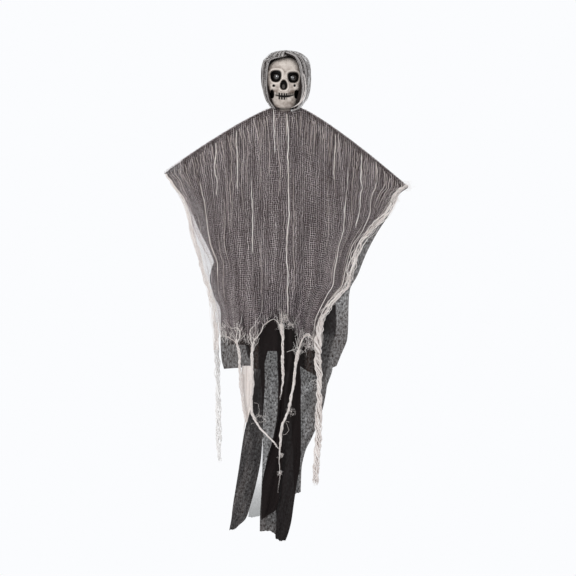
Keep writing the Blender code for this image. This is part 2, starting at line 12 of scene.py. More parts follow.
import bmesh
import bpy
import numpy as np
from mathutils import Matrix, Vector


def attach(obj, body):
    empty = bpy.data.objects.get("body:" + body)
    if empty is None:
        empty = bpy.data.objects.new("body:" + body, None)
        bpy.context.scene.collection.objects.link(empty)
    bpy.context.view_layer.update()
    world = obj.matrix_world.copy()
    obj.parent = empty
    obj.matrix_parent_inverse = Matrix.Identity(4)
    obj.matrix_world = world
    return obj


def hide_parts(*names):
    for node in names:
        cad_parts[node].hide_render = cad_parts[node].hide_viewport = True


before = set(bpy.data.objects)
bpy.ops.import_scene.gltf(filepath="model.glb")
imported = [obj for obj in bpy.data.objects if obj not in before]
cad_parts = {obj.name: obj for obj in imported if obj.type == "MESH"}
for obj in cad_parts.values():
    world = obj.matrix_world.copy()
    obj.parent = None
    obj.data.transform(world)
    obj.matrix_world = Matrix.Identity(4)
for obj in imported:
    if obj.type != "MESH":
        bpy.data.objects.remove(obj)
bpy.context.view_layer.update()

print("frame:", sorted(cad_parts))

# %% [markdown]
# ## Colours and shader nodes
# Colours are easiest to read as hex values, as a paint chart or a browser gives them. Blender's
# sockets want linear light, so one function turns the first into the second. A few more add the
# shader nodes that all materials share, which keeps each material a short list.

# %% Colour and node helpers
MM = 0.001


def hex_colour(text):
    """Linear colour, with full alpha, from an sRGB hex value."""
    channels = [int(text[i : i + 2], 16) / 255 for i in (1, 3, 5)]
    return (*[c / 12.92 if c <= 0.04045 else ((c + 0.055) / 1.055) ** 2.4 for c in channels], 1.0)


def fill(tree, node, inputs):
    """Sets inputs, in order or by name, from numbers, hex colours, nodes or sockets."""
    named = inputs if isinstance(inputs, dict) else dict(enumerate(inputs))
    for socket, value in named.items():
        value = value.outputs[0] if isinstance(value, bpy.types.Node) else value
        if isinstance(value, bpy.types.NodeSocket):
            tree.links.new(value, node.inputs[socket])
        else:
            value = hex_colour(value) if isinstance(value, str) else value
            node.inputs[socket].default_value = value
    return node


def add_node(tree, kind, inputs=(), **settings):
    node = tree.nodes.new("ShaderNode" + kind)
    for name, value in settings.items():
        setattr(node, name, value)
    return fill(tree, node, inputs)


def maths(tree, operation, *values, clamp=False):
    return add_node(tree, "Math", values, operation=operation, use_clamp=clamp)


def remap(tree, value, source, result=(0.0, 1.0), **settings):
    """A value moved from one range to another."""
    sockets = {"Value": value, "From Min": source[0], "From Max": source[1],
               "To Min": result[0], "To Max": result[1]}
    return add_node(tree, "MapRange", sockets, **settings)


def mix(tree, share, first, second):
    return add_node(tree, "MixRGB", (share, first, second))


def spots(tree, place, size, detail, roughness=0.5):
    """Noise with spots of a given size in metres."""
    return add_node(tree, "TexNoise", {"Vector": place, "Scale": 1 / size, "Detail": detail,
                                       "Roughness": roughness})


def bump(tree, height, strength, depth):
    return add_node(tree, "Bump", {"Height": height, "Strength": strength, "Distance": depth})


def attribute(tree, name):
    return add_node(tree, "Attribute", attribute_name=name).outputs["Fac"]


def new_material(name, settings=()):
    """A material with a Principled shader on its output."""
    material = bpy.data.materials.new(name)
    material.use_nodes = True
    tree = material.node_tree
    return material, tree, fill(tree, tree.nodes["Principled BSDF"], settings)


# %% [markdown]
# ## The camera
# The photograph was taken level with the middle of the ghost through a long lens, so nothing
# tapers. A camera far away with a long focal length gives the same flat view. The frame is
# 1.054 m wide at the ghost, and its middle lies 427 mm below the hanging eye.

# %% Camera
VIEW_WIDTH = 1.0535
VIEW_CENTRE = Vector((0.0037, 0.0, -0.4271))
CAMERA_DISTANCE = 8.0

camera_data = bpy.data.cameras.new("camera")
camera_data.sensor_width = 36.0
camera_data.lens = camera_data.sensor_width * CAMERA_DISTANCE / VIEW_WIDTH
camera_data.clip_end = 40.0
camera = bpy.data.objects.new("camera", camera_data)
camera.location = VIEW_CENTRE + Vector((0.0, -CAMERA_DISTANCE, 0.0))
camera.rotation_euler = (math.pi / 2, 0.0, 0.0)
bpy.context.scene.collection.objects.link(camera)
bpy.context.scene.camera = camera
print(f"camera: {camera_data.lens:.0f} mm lens, {CAMERA_DISTANCE} m away")

# %% [markdown]
# ## Light and background
# Two large soft lamps in front and an even pale surround give the flat light of a product
# picture. The world is white to the camera, to mirrors and through glass, and a little dimmer as
# a light, so cloth keeps its folds. A small pale floor below the hem takes the ghost's shadow.

# %% Light and background
AMBIENT_LEVEL = 0.42
BACKDROP_WHITE = "#FBFCFE"
FLOOR_Z = -1.02
FLOOR_RADIUS = 0.6

scene = bpy.context.scene
scene.view_settings.view_transform = "Standard"
world = bpy.data.worlds.new("pale_studio")
scene.world = world
world.use_nodes = True
tree = world.node_tree
rays = add_node(tree, "LightPath").outputs
seen = maths(tree, "MAXIMUM", rays["Is Camera Ray"], rays["Is Glossy Ray"])
seen = maths(tree, "MAXIMUM", seen, rays["Is Transmission Ray"])
level = remap(tree, seen, (0.0, 1.0), (AMBIENT_LEVEL, 1.0))
fill(tree, tree.nodes["Background"], {"Color": BACKDROP_WHITE, "Strength": level})

floor_material, _, _ = new_material(
    "painted_studio_floor", {"Base Color": "#F6F7F8", "Roughness": 0.9})
bm = bmesh.new()
bmesh.ops.create_circle(bm, cap_ends=True, segments=96, radius=FLOOR_RADIUS)
bmesh.ops.translate(bm, vec=(VIEW_CENTRE.x, 0.0, FLOOR_Z), verts=bm.verts)
floor_mesh = bpy.data.meshes.new("studio_floor")
bm.to_mesh(floor_mesh)
bm.free()
floor_mesh.materials.append(floor_material)
floor = bpy.data.objects.new("studio_floor", floor_mesh)
scene.collection.objects.link(floor)


def add_lamp(name, place, width, watts):
    """A square soft lamp that faces the ghost's chest."""
    data = bpy.data.lights.new(name, "AREA")
    data.size = width
    data.energy = watts
    lamp = bpy.data.objects.new(name, data)
    lamp.location = place
    aim = VIEW_CENTRE + Vector((0.0, 0.0, 0.12)) - lamp.location
    lamp.rotation_euler = aim.to_track_quat("-Z", "Y").to_euler()
    scene.collection.objects.link(lamp)


add_lamp("key_lamp", Vector((-1.3, -2.2, 0.7)), 0.9, 34.0)
add_lamp("fill_lamp", Vector((1.5, -2.4, 0.1)), 1.2, 16.0)
add_lamp("back_lamp", Vector((0.9, 2.4, 0.6)), 1.2, 30.0)
print("light: three soft lamps and a pale world")

# %% [markdown]
# ## Smooth curves and noise
# An outline of the cloth is a few points that a smooth curve joins, and wrinkles are noise.
# Whole grids of points are worked out at once with numpy, which is why these helpers take
# arrays. The curve never overshoots its points, so a hem never bulges past its outline.

# %% Curves and noise
def smooth_curve(points, at):
    """Values at places on a smooth curve through (place, value) pairs that never overshoots."""
    keys, values = np.array(points, float).T
    widths = np.diff(keys)
    slopes = np.diff(values) / widths
    product = slopes[:-1] * slopes[1:]
    total = np.where(product > 0, slopes[:-1] + slopes[1:], 1.0)
    inner = np.where(product > 0, 2 * product / total, 0.0)
    tangents = np.concatenate([slopes[:1], inner, slopes[-1:]])
    at = np.clip(at, keys[0], keys[-1])
    i = np.clip(np.searchsorted(keys, at, side="right") - 1, 0, len(widths) - 1)
    t = (at - keys[i]) / widths[i]
    rise = (2 * t - 3) * t * t + 1
    bend = widths[i] * t * (1 - t) * ((1 - t) * tangents[i] - t * tangents[i + 1])
    return rise * values[i] + (1 - rise) * values[i + 1] + bend


def smooth_step(low, high, value):
    """0 below low, 1 above high, and a smooth rise between them."""
    t = np.clip((value - low) / (high - low), 0.0, 1.0)
    return t * t * (3 - 2 * t)


NOISE_SIZE = 64
NOISE_SEED = 7
noise_table = np.random.default_rng(NOISE_SEED).uniform(-1, 1, (NOISE_SIZE, NOISE_SIZE))


def noise(u, v=0.0):
    """Smooth noise from -1 to 1 that changes over about one unit of u or v."""
    u, v = np.broadcast_arrays(np.asarray(u, float), np.asarray(v, float))
    i, j = np.floor(u).astype(int), np.floor(v).astype(int)
    s, t = u - i, v - j
    s, t = s * s * (3 - 2 * s), t * t * (3 - 2 * t)
    a, b = (noise_table[(i + k) % NOISE_SIZE, j % NOISE_SIZE] for k in (0, 1))
    c, d = (noise_table[(i + k) % NOISE_SIZE, (j + 1) % NOISE_SIZE] for k in (0, 1))
    return (a + (b - a) * s) * (1 - t) + (c + (d - c) * s) * t


def together(*axes):
    """Points from arrays of x, y and z."""
    return np.stack(np.broadcast_arrays(*axes), axis=-1)


def along(places, at, first=0):
    """Each column of a list of places, at numbers that count along the list."""
    return [smooth_curve(list(enumerate(column, first)), at) for column in zip(*places)]


# %% [markdown]
# ## Meshes from grids
# Every cloth here is a grid of points, so one function turns grids into a mesh. It also stores
# two things that the weave needs: a UV map in metres of cloth, so that a thread keeps its real
# thickness, and the bunching, which says how many layers the cloth counts for at each point.

# %% Grid meshes
def grid_faces(rows, columns, first=0):
    """Quads between the points of a grid that is stored row by row."""
    corner = first + np.arange(rows - 1)[:, None] * columns + np.arange(columns - 1)
    corner = corner.ravel()
    return np.stack([corner, corner + 1, corner + columns + 1, corner + columns], axis=1)


def link_mesh(name, points, faces, material, slot, uv=None, **attributes):
    """Makes an object from arrays of points and quads, with a UV map and point attributes."""
    mesh = bpy.data.meshes.new(name)
    mesh.from_pydata(np.asarray(points, float).tolist(), [], np.asarray(faces).tolist())
    mesh.polygons.foreach_set("use_smooth", np.ones(len(mesh.polygons), bool))
    if uv is not None:
        corners = np.empty(len(mesh.loops), np.int32)
        mesh.loops.foreach_get("vertex_index", corners)
        layer = mesh.uv_layers.new(name="cloth_metres")
        layer.data.foreach_set("uv", np.asarray(uv, np.float32)[corners].ravel())
    for key, values in attributes.items():
        attribute = mesh.attributes.new(key, "FLOAT", "POINT")
        attribute.data.foreach_set("value", np.asarray(values, np.float32))
    mesh.materials.append(material)
    obj = bpy.data.objects.new(name, mesh)
    scene.collection.objects.link(obj)
    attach(obj, "root")
    return obj


Patch = namedtuple("Patch", "points uv bunching")


def join_patches(name, patches, material, slot, **more):
    """One cloth from several grids. Each patch's arrays have a row and a column axis."""
    shapes = [patch.points.shape[:2] for patch in patches]
    starts = np.cumsum([0] + [rows * columns for rows, columns in shapes])
    faces = [grid_faces(*shape, first) for shape, first in zip(shapes, starts)]
    bunching = [np.broadcast_to(p.bunching, shape).ravel() for p, shape in zip(patches, shapes)]
    obj = link_mesh(
        name, np.concatenate([patch.points.reshape(-1, 3) for patch in patches]),
        np.concatenate(faces), material, slot,
        uv=np.concatenate([patch.uv.reshape(-1, 2) for patch in patches]),
        bunching=np.concatenate(bunching), **more,
    )
    print(f"{name}: {len(patches)} patches, {2 * sum(len(f) for f in faces)} triangles")
    return obj


# %% [markdown]
# ## The shoulder line and the panels
# The cloth hangs from a wire that slopes down from the neck to two arm tips. A front panel and a
# back panel fall from it. Each panel's side edge is a list of shares: how far down from the arm
# tip to the edge's end, and how far in. These are the same outlines as the solids have, so the
# dressed cloth keeps their shape.

# %% Shoulder line
ARM_REACH_LEFT = 0.2226
ARM_REACH_RIGHT = 0.2231
ARM_DROP_LEFT = 0.1174
ARM_DROP_RIGHT = 0.1437
ARM_ARCH = 1.18
SHOULDER_HALF_WIDTH = 0.027
SHOULDER_WIRE_Z = -0.1004
NECK_HOLE_HALF_WIDTH = 0.014
NECKLINE_DROP = 0.004
FRONT, BACK = -1, 1
ROBE, CAPE = 0, 1

Outline = namedtuple("Outline", "end shape below")
Panel = namedtuple("Panel", "facing left right cape_hem robe_hem bulge phase")


def arm_reach(x):
    return np.where(x < 0, ARM_REACH_LEFT, ARM_REACH_RIGHT)


def wire_z(x):
    """Height of the wire at a place across the shoulders."""
    drop = np.where(x < 0, ARM_DROP_LEFT, ARM_DROP_RIGHT)
    out = np.maximum(0.0, (np.abs(x) - SHOULDER_HALF_WIDTH) / (arm_reach(x) - SHOULDER_HALF_WIDTH))
    return SHOULDER_WIRE_Z - drop * out**ARM_ARCH


# %% Panel outlines
FRONT_LEFT = Outline(
    (0.5094, 0.1207),
    [
        (0.04, 0.12), (0.12, 0.25), (0.2, 0.39), (0.35, 0.54), (0.48, 0.71),
        (0.57, 0.83), (0.67, 0.84), (0.77, 0.87), (0.85, 0.96),
    ],
    [(0.557, 0.1178), (0.577, 0.1127)],
)
FRONT_RIGHT = Outline(
    (0.5295, 0.0567),
    [
        (0.04, 0.11), (0.17, 0.24), (0.28, 0.42), (0.38, 0.56), (0.52, 0.64),
        (0.62, 0.68), (0.68, 0.78), (0.78, 0.9), (0.86, 0.97),
    ],
    [(0.588, 0.0549)],
)
BACK_LEFT = Outline(
    (0.5057, 0.128),
    [
        (0.04, 0.1), (0.12, 0.24), (0.2, 0.38), (0.24, 0.45), (0.38, 0.52),
        (0.54, 0.65), (0.68, 0.79), (0.79, 0.9),
    ],
    [(0.5185, 0.1225), (0.57, 0.117)],
)
BACK_RIGHT = Outline(
    (0.4957, 0.1139),
    [
        (0.04, 0.13), (0.19, 0.31), (0.33, 0.52), (0.48, 0.7), (0.64, 0.85),
        (0.74, 0.97), (0.82, 0.99),
    ],
    [(0.519, 0.1123), (0.55, 0.1006), (0.6, 0.08)],
)
FRONT_PANEL = Panel(
    FRONT, FRONT_LEFT, FRONT_RIGHT,
    [
        (-1.0, 0.509), (-0.78, 0.526), (-0.6, 0.524), (-0.46, 0.517), (-0.36, 0.504),
        (-0.28, 0.488), (-0.2, 0.479), (-0.13, 0.479), (-0.06, 0.49), (0.08, 0.493),
        (0.36, 0.511), (0.44, 0.531), (1.0, 0.53),
    ],
    [
        (-1.0, 0.575), (-0.6, 0.571), (-0.34, 0.565), (-0.27, 0.542), (-0.15, 0.542),
        (-0.1, 0.56), (0.2, 0.56), (0.6, 0.575), (1.0, 0.588),
    ],
    0.024, 0.6,
)
BACK_PANEL = Panel(
    BACK, BACK_LEFT, BACK_RIGHT,
    [
        (-1.0, 0.506), (-0.8, 0.52), (-0.5, 0.5), (-0.2, 0.52), (0.1, 0.49),
        (0.4, 0.525), (0.6, 0.515), (0.8, 0.46), (1.0, 0.425),
    ],
    [(-1.0, 0.53), (-0.6, 0.532), (-0.5, 0.575), (0.0, 0.58), (0.5, 0.59), (1.0, 0.57)],
    0.02, 2.1,
)


def edge_reach(outline, side, z):
    """How far a panel's side edge lies from the middle at a height."""
    tip_reach = ARM_REACH_LEFT if side < 0 else ARM_REACH_RIGHT
    tip_drop = -float(wire_z(np.float64(side * tip_reach)))
    end_drop, end_reach = outline.end
    points = [
        (tip_drop + down * (end_drop - tip_drop), tip_reach + inward * (end_reach - tip_reach))
        for down, inward in [(0.0, 0.0)] + outline.shape + [(1.0, 1.0)]
    ]
    return smooth_curve(points + outline.below, -z)


def panel_reach(panel, across, z):
    return np.where(across < 0, edge_reach(panel.left, -1, z), edge_reach(panel.right, 1, z))


# %% [markdown]
# ## How the cloth hangs
# Close to the wire both cloths lie flat on it. Lower down the front panel swings forward, the
# neck pushes it out, and long soft folds form. The depth of any point is worked out from those
# three, with the cape always a little outside the robe.

# %% Drape
LAYER_PITCH = 0.0011
LAYER_INNER = 0.00195
LAYER_SPACING = 0.0028
LAYER_SPREAD_DROP = 0.04
RIDGE_STEEPNESS = 1.3
BULGE_DROP = 0.09
NECK_PUSH = 0.019
NECK_PUSH_WIDTH = 0.022
NECK_PUSH_DROP = 0.15
FOLD_COUNT = 6.5
FOLD_DEPTH = 0.005
FOLD_DROP = 0.3


def layer_offset(layer, drop):
    spread = np.minimum(1.0, drop / LAYER_SPREAD_DROP)
    return LAYER_INNER + layer * (LAYER_PITCH + (LAYER_SPACING - LAYER_PITCH) * spread)


def neck_nearness(x):
    return np.exp(-((x / NECK_PUSH_WIDTH) ** 2))


def drape(panel, layer, across, x, drop):
    """Depth of a cloth: its layer, its bulge, the push of the neck and its long folds."""
    bulge = panel.bulge * (1 - np.exp(-drop / BULGE_DROP)) * (1 - 0.75 * across**2)
    push = NECK_PUSH * neck_nearness(x) * np.exp(-drop / NECK_PUSH_DROP)
    swing = math.pi * FOLD_COUNT * across + panel.phase + 3 * drop
    fold = np.sin(swing) + 0.35 * np.sin(0.47 * swing + 2.0)
    depth = FOLD_DEPTH * np.minimum(1.0, drop / FOLD_DROP) * (1 - 0.5 * across**2)
    return panel.facing * (layer_offset(layer, drop) + bulge + push) + depth * fold


def ridge_z(layer, x):
    """Where a panel starts, just under the wire's top; lower in the neck hole."""
    top = wire_z(x) + layer * LAYER_PITCH * RIDGE_STEEPNESS * neck_nearness(x)
    hole = 1 - smooth_step(0.8 * NECK_HOLE_HALF_WIDTH, NECK_HOLE_HALF_WIDTH, np.abs(x))
    return top - NECKLINE_DROP * hole


# %% [markdown]
# ## Black voile
# The robe is polyester voile: fine, even, and so open that white shows through one layer as a
# warm grey, while two layers look black. The threads are far too fine to draw at this size, so
# the weave is drawn as a grain of about 3 mm, as the photograph shows it. Voile is woven from
# smooth filament, so it has a faint sheen at grazing angles, which is painted into the grain as
# lighter specks. Where it lies alone, light passes through its threads, and that light is painted
# into their colour, brown rather than black.

# %% Voile material
VOILE_GRAIN = 2.9 * MM
VOILE_CLOUD = 28 * MM


def woven_voile(name, cover, grain_swing, thread="#0B0909", painted_sheen="#221A1A", painted_through_light="#2F2420"):
    """Voile covering a share of what is behind it; one layer is painted brown for light through it.
    """
    material, tree, shader = new_material(
        name, {"Roughness": 0.88, "IOR": 1.55, "Specular IOR Level": 0.12})
    uv = add_node(tree, "UVMap", uv_map="cloth_metres")
    warped = add_node(tree, "Mapping", {"Vector": uv, "Scale": (1.0, 0.55, 1.0)})
    grain = spots(tree, warped, VOILE_GRAIN, 3.0, 0.7)
    layers = attribute(tree, "bunching")
    speckle = remap(tree, grain, (0.34, 0.66), (-grain_swing, grain_swing))
    drift = remap(tree, spots(tree, uv, VOILE_CLOUD, 2.0), (0.3, 0.7), (-0.03, 0.03))
    varied = maths(tree, "SUBTRACT", 1.0, maths(tree, "ADD", speckle, drift))
    openness = maths(tree, "DIVIDE", 1 - cover, layers)
    openness = maths(tree, "MULTIPLY", openness, varied, clamp=True)
    alpha = maths(tree, "SUBTRACT", 1.0, openness, clamp=True)
    alone = remap(tree, layers, (1.4, 3.0), (1.0, 0.0))
    # Lighter specks of the grain are a painted sheen, and a lone layer is painted brown for the
    # light through it.
    colour = mix(tree, alone, mix(tree, grain, thread, painted_sheen), painted_through_light)
    relief = bump(tree, grain, 0.35, 0.4 * MM)
    fill(tree, shader, {"Base Color": colour, "Alpha": alpha, "Normal": relief})
    return material


robe_voile = woven_voile("woven_polyester_voile", 0.875, 1.0)
print("voile grain:", VOILE_GRAIN)

# %% [markdown]
# ## The robe
# The robe is one cloth laid over the wire and slit below into long tails. Its two panels are
# grids that follow the outlines. Small wrinkles are added to the smooth drape, and the slits are
# left as the outlines give them. On the left the robe stops short of the cape's edge, so a pale
# strip of gauze alone shows there.

# %% Robe panels
ROBE_COLUMNS = 200
ROBE_ROWS = 130
ROBE_BACK_FIRST = -13 / 15
# Width and depth of the small wrinkles of each cloth.
ROBE_WRINKLES = (0.018, 0.0011)
TAIL_WRINKLES = (0.010, 0.0009)
CAPE_WRINKLES = (0.012, 0.0006)
# How far the robe stops inside the cape's left edge, as (drop, distance).
LEFT_INSET = [
    (0.226, 0.0), (0.272, 0.004), (0.317, 0.008), (0.354, 0.01), (0.378, 0.007),
    (0.393, 0.001), (0.412, -0.002), (0.442, 0.0026), (0.466, 0.0046), (0.5, 0.002),
    (0.53, 0.0),
]


def wrinkles(x, z, scale, depth):
    """Upright soft wrinkles for a cloth that hangs: narrow across and long downwards."""
    broad = noise(x / scale, z / (6 * scale))
    fine = noise(2.3 * x / scale + 9, z / (3 * scale) + 5)
    return depth * (broad + 0.5 * fine)


def robe_place(panel, across, level):
    """Points of the robe; level runs from 0 at the ridge to 1 at its hem."""
    x_top = across * arm_reach(across)
    z_top = ridge_z(ROBE, x_top)
    z = z_top + (-smooth_curve(panel.robe_hem, across) - z_top) * level
    reach = panel_reach(panel, across, z) - np.where(across < 0, smooth_curve(LEFT_INSET, -z), 0)
    x = across * reach
    drop = z_top - z
    y = drape(panel, ROBE, across, x, drop)
    y = y - panel.facing * wrinkles(x, z, *ROBE_WRINKLES) * np.minimum(1.0, drop / 0.1)
    return together(x, y, z)


# %% [markdown]
# ## Where the robe is folded
# In the middle the robe is gathered, so it counts for many layers and looks black. A narrow slit
# in the cape shows it too, and on the right the back panel is folded over. Each of these places
# is a curve down the cloth, as (drop, across) pairs.

# %% Slit and folds
SLIT = [(0.47, -0.08), (0.483, -0.0786), (0.53, -0.071), (0.552, -0.0665)]
SLIT_HALF_WIDTH = [(0.47, 0.0), (0.5, 0.0014), (0.552, 0.003)]
FOLD_RIGHT = [(0.44, 0.088), (0.4728, 0.0911), (0.504, 0.0911), (0.5405, 0.082),
              (0.5895, 0.0713), (0.62, 0.06)]
FOLD_LEFT = [(0.448, 0.09), (0.4728, 0.078), (0.49, 0.066), (0.505, 0.054)]


def in_slit(x, drop):
    """1 inside the slit, 0 outside it."""
    beside = np.abs(x - smooth_curve(SLIT, drop)) - smooth_curve(SLIT_HALF_WIDTH, drop)
    return (1 - smooth_step(-0.0004, 0.001, beside)) * smooth_step(0.47, 0.48, drop)


def robe_bunching(panel, x, drop, upper):
    """How many layers the robe counts for: more in its middle, in folds and by the slit."""
    bunched = upper + (1 - upper) * smooth_step(0.45, 0.53, drop)
    if panel.facing == FRONT:
        middle = 1 - smooth_step(0.034, 0.046, np.abs(x + 0.008))
        bunched = bunched + 6 * middle * smooth_step(0.42, 0.46, drop)
        return bunched + 6 * in_slit(x, drop) * (1 - smooth_step(0.548, 0.556, drop))
    folded = 1 - smooth_step(-0.0012, 0.0012, x - smooth_curve(FOLD_RIGHT, drop))
    folded = folded * smooth_step(-0.0012, 0.0012, x - smooth_curve(FOLD_LEFT, drop))
    folded = folded * smooth_step(0.448, 0.456, drop) * (1 - smooth_step(0.575, 0.6, drop))
    return bunched + (1.6 + 5 * (1 - smooth_step(0.5, 0.52, drop))) * folded


def robe_patch(panel, first, upper_bunching):
    across = np.linspace(first, 1.0, ROBE_COLUMNS)[None, :]
    level = (np.linspace(0, 1, ROBE_ROWS) ** 1.15)[:, None]
    points = robe_place(panel, across, level)
    bunched = robe_bunching(panel, points[..., 0], -points[..., 2], upper_bunching)
    return Patch(points, points[..., [0, 2]], bunched)


# %% Robe over the wire
RIDGE_STEPS = 9


def ridge_patch(layer, front_row, back_row):
    """The narrow part of a cloth that bends over the wire, between two panels' top rows."""
    angle = np.linspace(0, math.pi, RIDGE_STEPS)[:, None]
    x = front_row[None, :, 0]
    top = wire_z(x) + RIDGE_STEEPNESS * layer_offset(layer, 0.0)
    start = front_row[None, :, 2]
    z = start + (top - start) * np.sin(angle)
    reach = np.where(angle < math.pi / 2, -front_row[None, :, 1], back_row[None, :, 1])
    y = -np.abs(reach) * np.cos(angle)
    points = together(x, y, z)
    return Patch(points, together(x, z + 0.3 * y), np.ones(points.shape[:2]))


def ridge_patches(layer, front, back_first):
    """The ridge on each side of the neck hole."""
    top = front.points[0]
    patches = []
    for side in (-1, 1):
        keep = side * top[:, 0] >= NECK_HOLE_HALF_WIDTH - 1e-6
        keep &= top[:, 0] >= back_first * ARM_REACH_LEFT
        patches.append(ridge_patch(layer, top[keep], top[keep] * [1, -1, 1]))
    return patches


# %% [markdown]
# ## The robe's tails
# Below the hem the voile falls in tails that narrow, turn and overlap. Each is a strip from its
# part of the hem through a few places of its own, given as (across, drop, width). A tail that is
# folded on itself counts for several layers and looks black. A slant cut gives one tail its
# pointed end, and one worn tail at the back has faded to a pale grey.

# %% Tails
Tail = namedtuple("Tail", "panel first last depth turn bunching places cut", defaults=[0.0])

ROBE_TAILS = [
    Tail(FRONT_PANEL, 7, 10, -0.012, 0.4, 1.95, [
        (-0.049, 0.604, 0.021), (-0.054, 0.65, 0.026), (-0.06, 0.698, 0.035),
        (-0.065, 0.742, 0.038), (-0.073, 0.787, 0.036), (-0.081, 0.824, 0.032),
        (-0.087, 0.851, 0.026), (-0.097, 0.872, 0.013),
    ]),
    Tail(FRONT_PANEL, 13, 15, -0.02, 0.3, 10.0, [
        (-0.008, 0.604, 0.012), (-0.01, 0.65, 0.011), (-0.014, 0.696, 0.017),
        (-0.021, 0.742, 0.028), (-0.0275, 0.787, 0.032), (-0.029, 0.824, 0.031),
        (-0.031, 0.851, 0.028),
    ], 0.017),
    Tail(FRONT_PANEL, 15, 22, -0.012, 0.5, 12.0, [
        (0.009, 0.604, 0.037), (0.008, 0.65, 0.038), (0.008, 0.696, 0.039),
        (0.007, 0.742, 0.039), (0.002, 0.787, 0.035), (-0.002, 0.824, 0.032),
        (-0.004, 0.855, 0.027), (-0.0085, 0.881, 0.022), (-0.01, 0.8916, 0.018),
    ]),
    Tail(BACK_PANEL, 9, 14, 0.006, 0.4, 0.66, [
        (-0.027, 0.62, 0.034), (-0.027, 0.668, 0.032), (-0.028, 0.742, 0.03),
        (-0.03, 0.797, 0.03), (-0.032, 0.842, 0.031), (-0.033, 0.881, 0.03),
    ]),
    Tail(BACK_PANEL, 16, 29, 0.006, 0.4, 0.8, [
        (0.037, 0.615, 0.074), (0.037, 0.637, 0.066), (0.035, 0.67, 0.051),
        (0.029, 0.701, 0.037), (0.024, 0.727, 0.022), (0.021, 0.76, 0.015),
        (0.021, 0.806, 0.012),
    ]),
]
WORN_TAIL = Tail(BACK_PANEL, 7, 9, 0.01, 0.4, 1.0, [
    (-0.054, 0.62, 0.018), (-0.053, 0.668, 0.018), (-0.052, 0.742, 0.02),
    (-0.053, 0.797, 0.023), (-0.057, 0.85, 0.024),
])
# Left edge of the dark, folded part that the front tails show, as (drop, across).
DARK_WEDGE = [(0.58, -0.075), (0.654, -0.0693), (0.6996, -0.064), (0.7325, -0.0585),
              (0.7746, -0.053), (0.79, -0.045), (0.82, -0.03)]
HEM_COLUMNS = 30
TAIL_COLUMNS = 40
TAIL_ROWS = 110
TAIL_TURN = 0.5
TAIL_RIPPLE = 0.0035
TORN_DEPTH = 0.012


def tail_patch(tail):
    """A strip that starts on the robe's hem and runs down through its places."""
    share = np.linspace(0, 1, TAIL_COLUMNS)
    across = 2 * (tail.first + (tail.last - tail.first) * share) / HEM_COLUMNS - 1
    hem = robe_place(tail.panel, across, 1.0)
    count = len(tail.places)
    number = np.linspace(0, count, TAIL_ROWS)[:, None]
    middle, drop, width = along(tail.places, number, 1)
    settled = smooth_step(0, 1, number)
    deep = smooth_step(0, 3, number)
    x = hem[:, 0] * (1 - settled) + (middle + width * (share - 0.5)) * settled
    lead = np.minimum(1.0, number)
    z = np.where(number < 1, hem[:, 2] * (1 - lead) - tail.places[0][1] * lead, -drop)
    torn = 0.5 + 0.5 * noise(1.7 * share + tail.first, 43.0) + 0.08 * noise(16 * share, tail.last)
    torn = TORN_DEPTH * torn * (1.0 if tail.cut == 0 else 0.3) + tail.cut * share
    z = z + torn * smooth_step(count - 1.5, count, number)
    wave = np.sin(2 * math.pi * (1.6 * share + 0.23 * number + tail.first))
    twist = TAIL_TURN * width * np.sin(1.7 * number) * (share - 0.5) * tail.turn
    y = hem[:, 1] + (tail.depth - hem[:, 1]) * deep + (TAIL_RIPPLE * wave + twist) * deep
    y = y + wrinkles(x, z, *TAIL_WRINKLES) * deep
    below = tail.bunching * (1 + 0.5 * np.abs(wave))
    if tail.panel.facing == FRONT:
        wedge = smooth_step(-0.001, 0.001, x - smooth_curve(DARK_WEDGE, -z))
        below = below + (0.7 + 5 * (1 - smooth_step(0.62, 0.68, -z))) * wedge
    else:
        below = below * (1 + 0.7 * smooth_step(0.79, 0.84, -z))
    start = robe_bunching(tail.panel, hem[:, 0], -hem[:, 2], 1.0)
    bunched = start + (below - start) * settled
    bunched = bunched * (1 + 0.35 * noise(5 * share + tail.last, 1.3 * number))
    points = together(x, y, z)
    return Patch(points, points[..., [0, 2]], np.maximum(0.35, bunched))


front_robe = robe_patch(FRONT_PANEL, -1.0, 1.0)
back_robe = robe_patch(BACK_PANEL, ROBE_BACK_FIRST, 0.6)
robe_patches = [front_robe, back_robe] + ridge_patches(ROBE, front_robe, ROBE_BACK_FIRST)
robe_patches += [tail_patch(tail) for tail in ROBE_TAILS]
robe = join_patches("voile_robe", robe_patches, robe_voile, "black_voile")
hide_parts("black_robe")

# %% The worn tail
worn_voile = woven_voile("worn_polyester_voile", 0.46, 0.1, "#5F645F", "#6E736E", "#6E746F")
worn = tail_patch(WORN_TAIL)
# The tail counts for more layers towards its end, so it is darker there.
denser_lower_down = 0.62 + 1.0 * smooth_step(0.76, 0.86, -worn.points[..., 2])
worn_tail = join_patches("worn_robe_tail", [Patch(worn.points, worn.uv, denser_lower_down)], worn_voile,
                         "black_voile")

# %% [markdown]
# ## Grey gauze
# The cape is cotton cheesecloth, a loose plain weave whose threads slip. Under pull they bunch
# into light upright streaks with dark gaps between. The real pitch is about 2 mm, and it is
# drawn at 3.7 mm here, which is two pixels of the picture. Warp and weft are two cosine waves
# that noise bends and thins; where a wave is high there is a thread, and elsewhere a hole.

# %% Gauze material
GAUZE_PITCH = 3.7 * MM
STREAK_WIDTH = 8.5 * MM
GAUZE_WANDER = 14 * MM
GAUZE_GRAIN = 2.6 * MM
THREAD_EDGE = 0.12


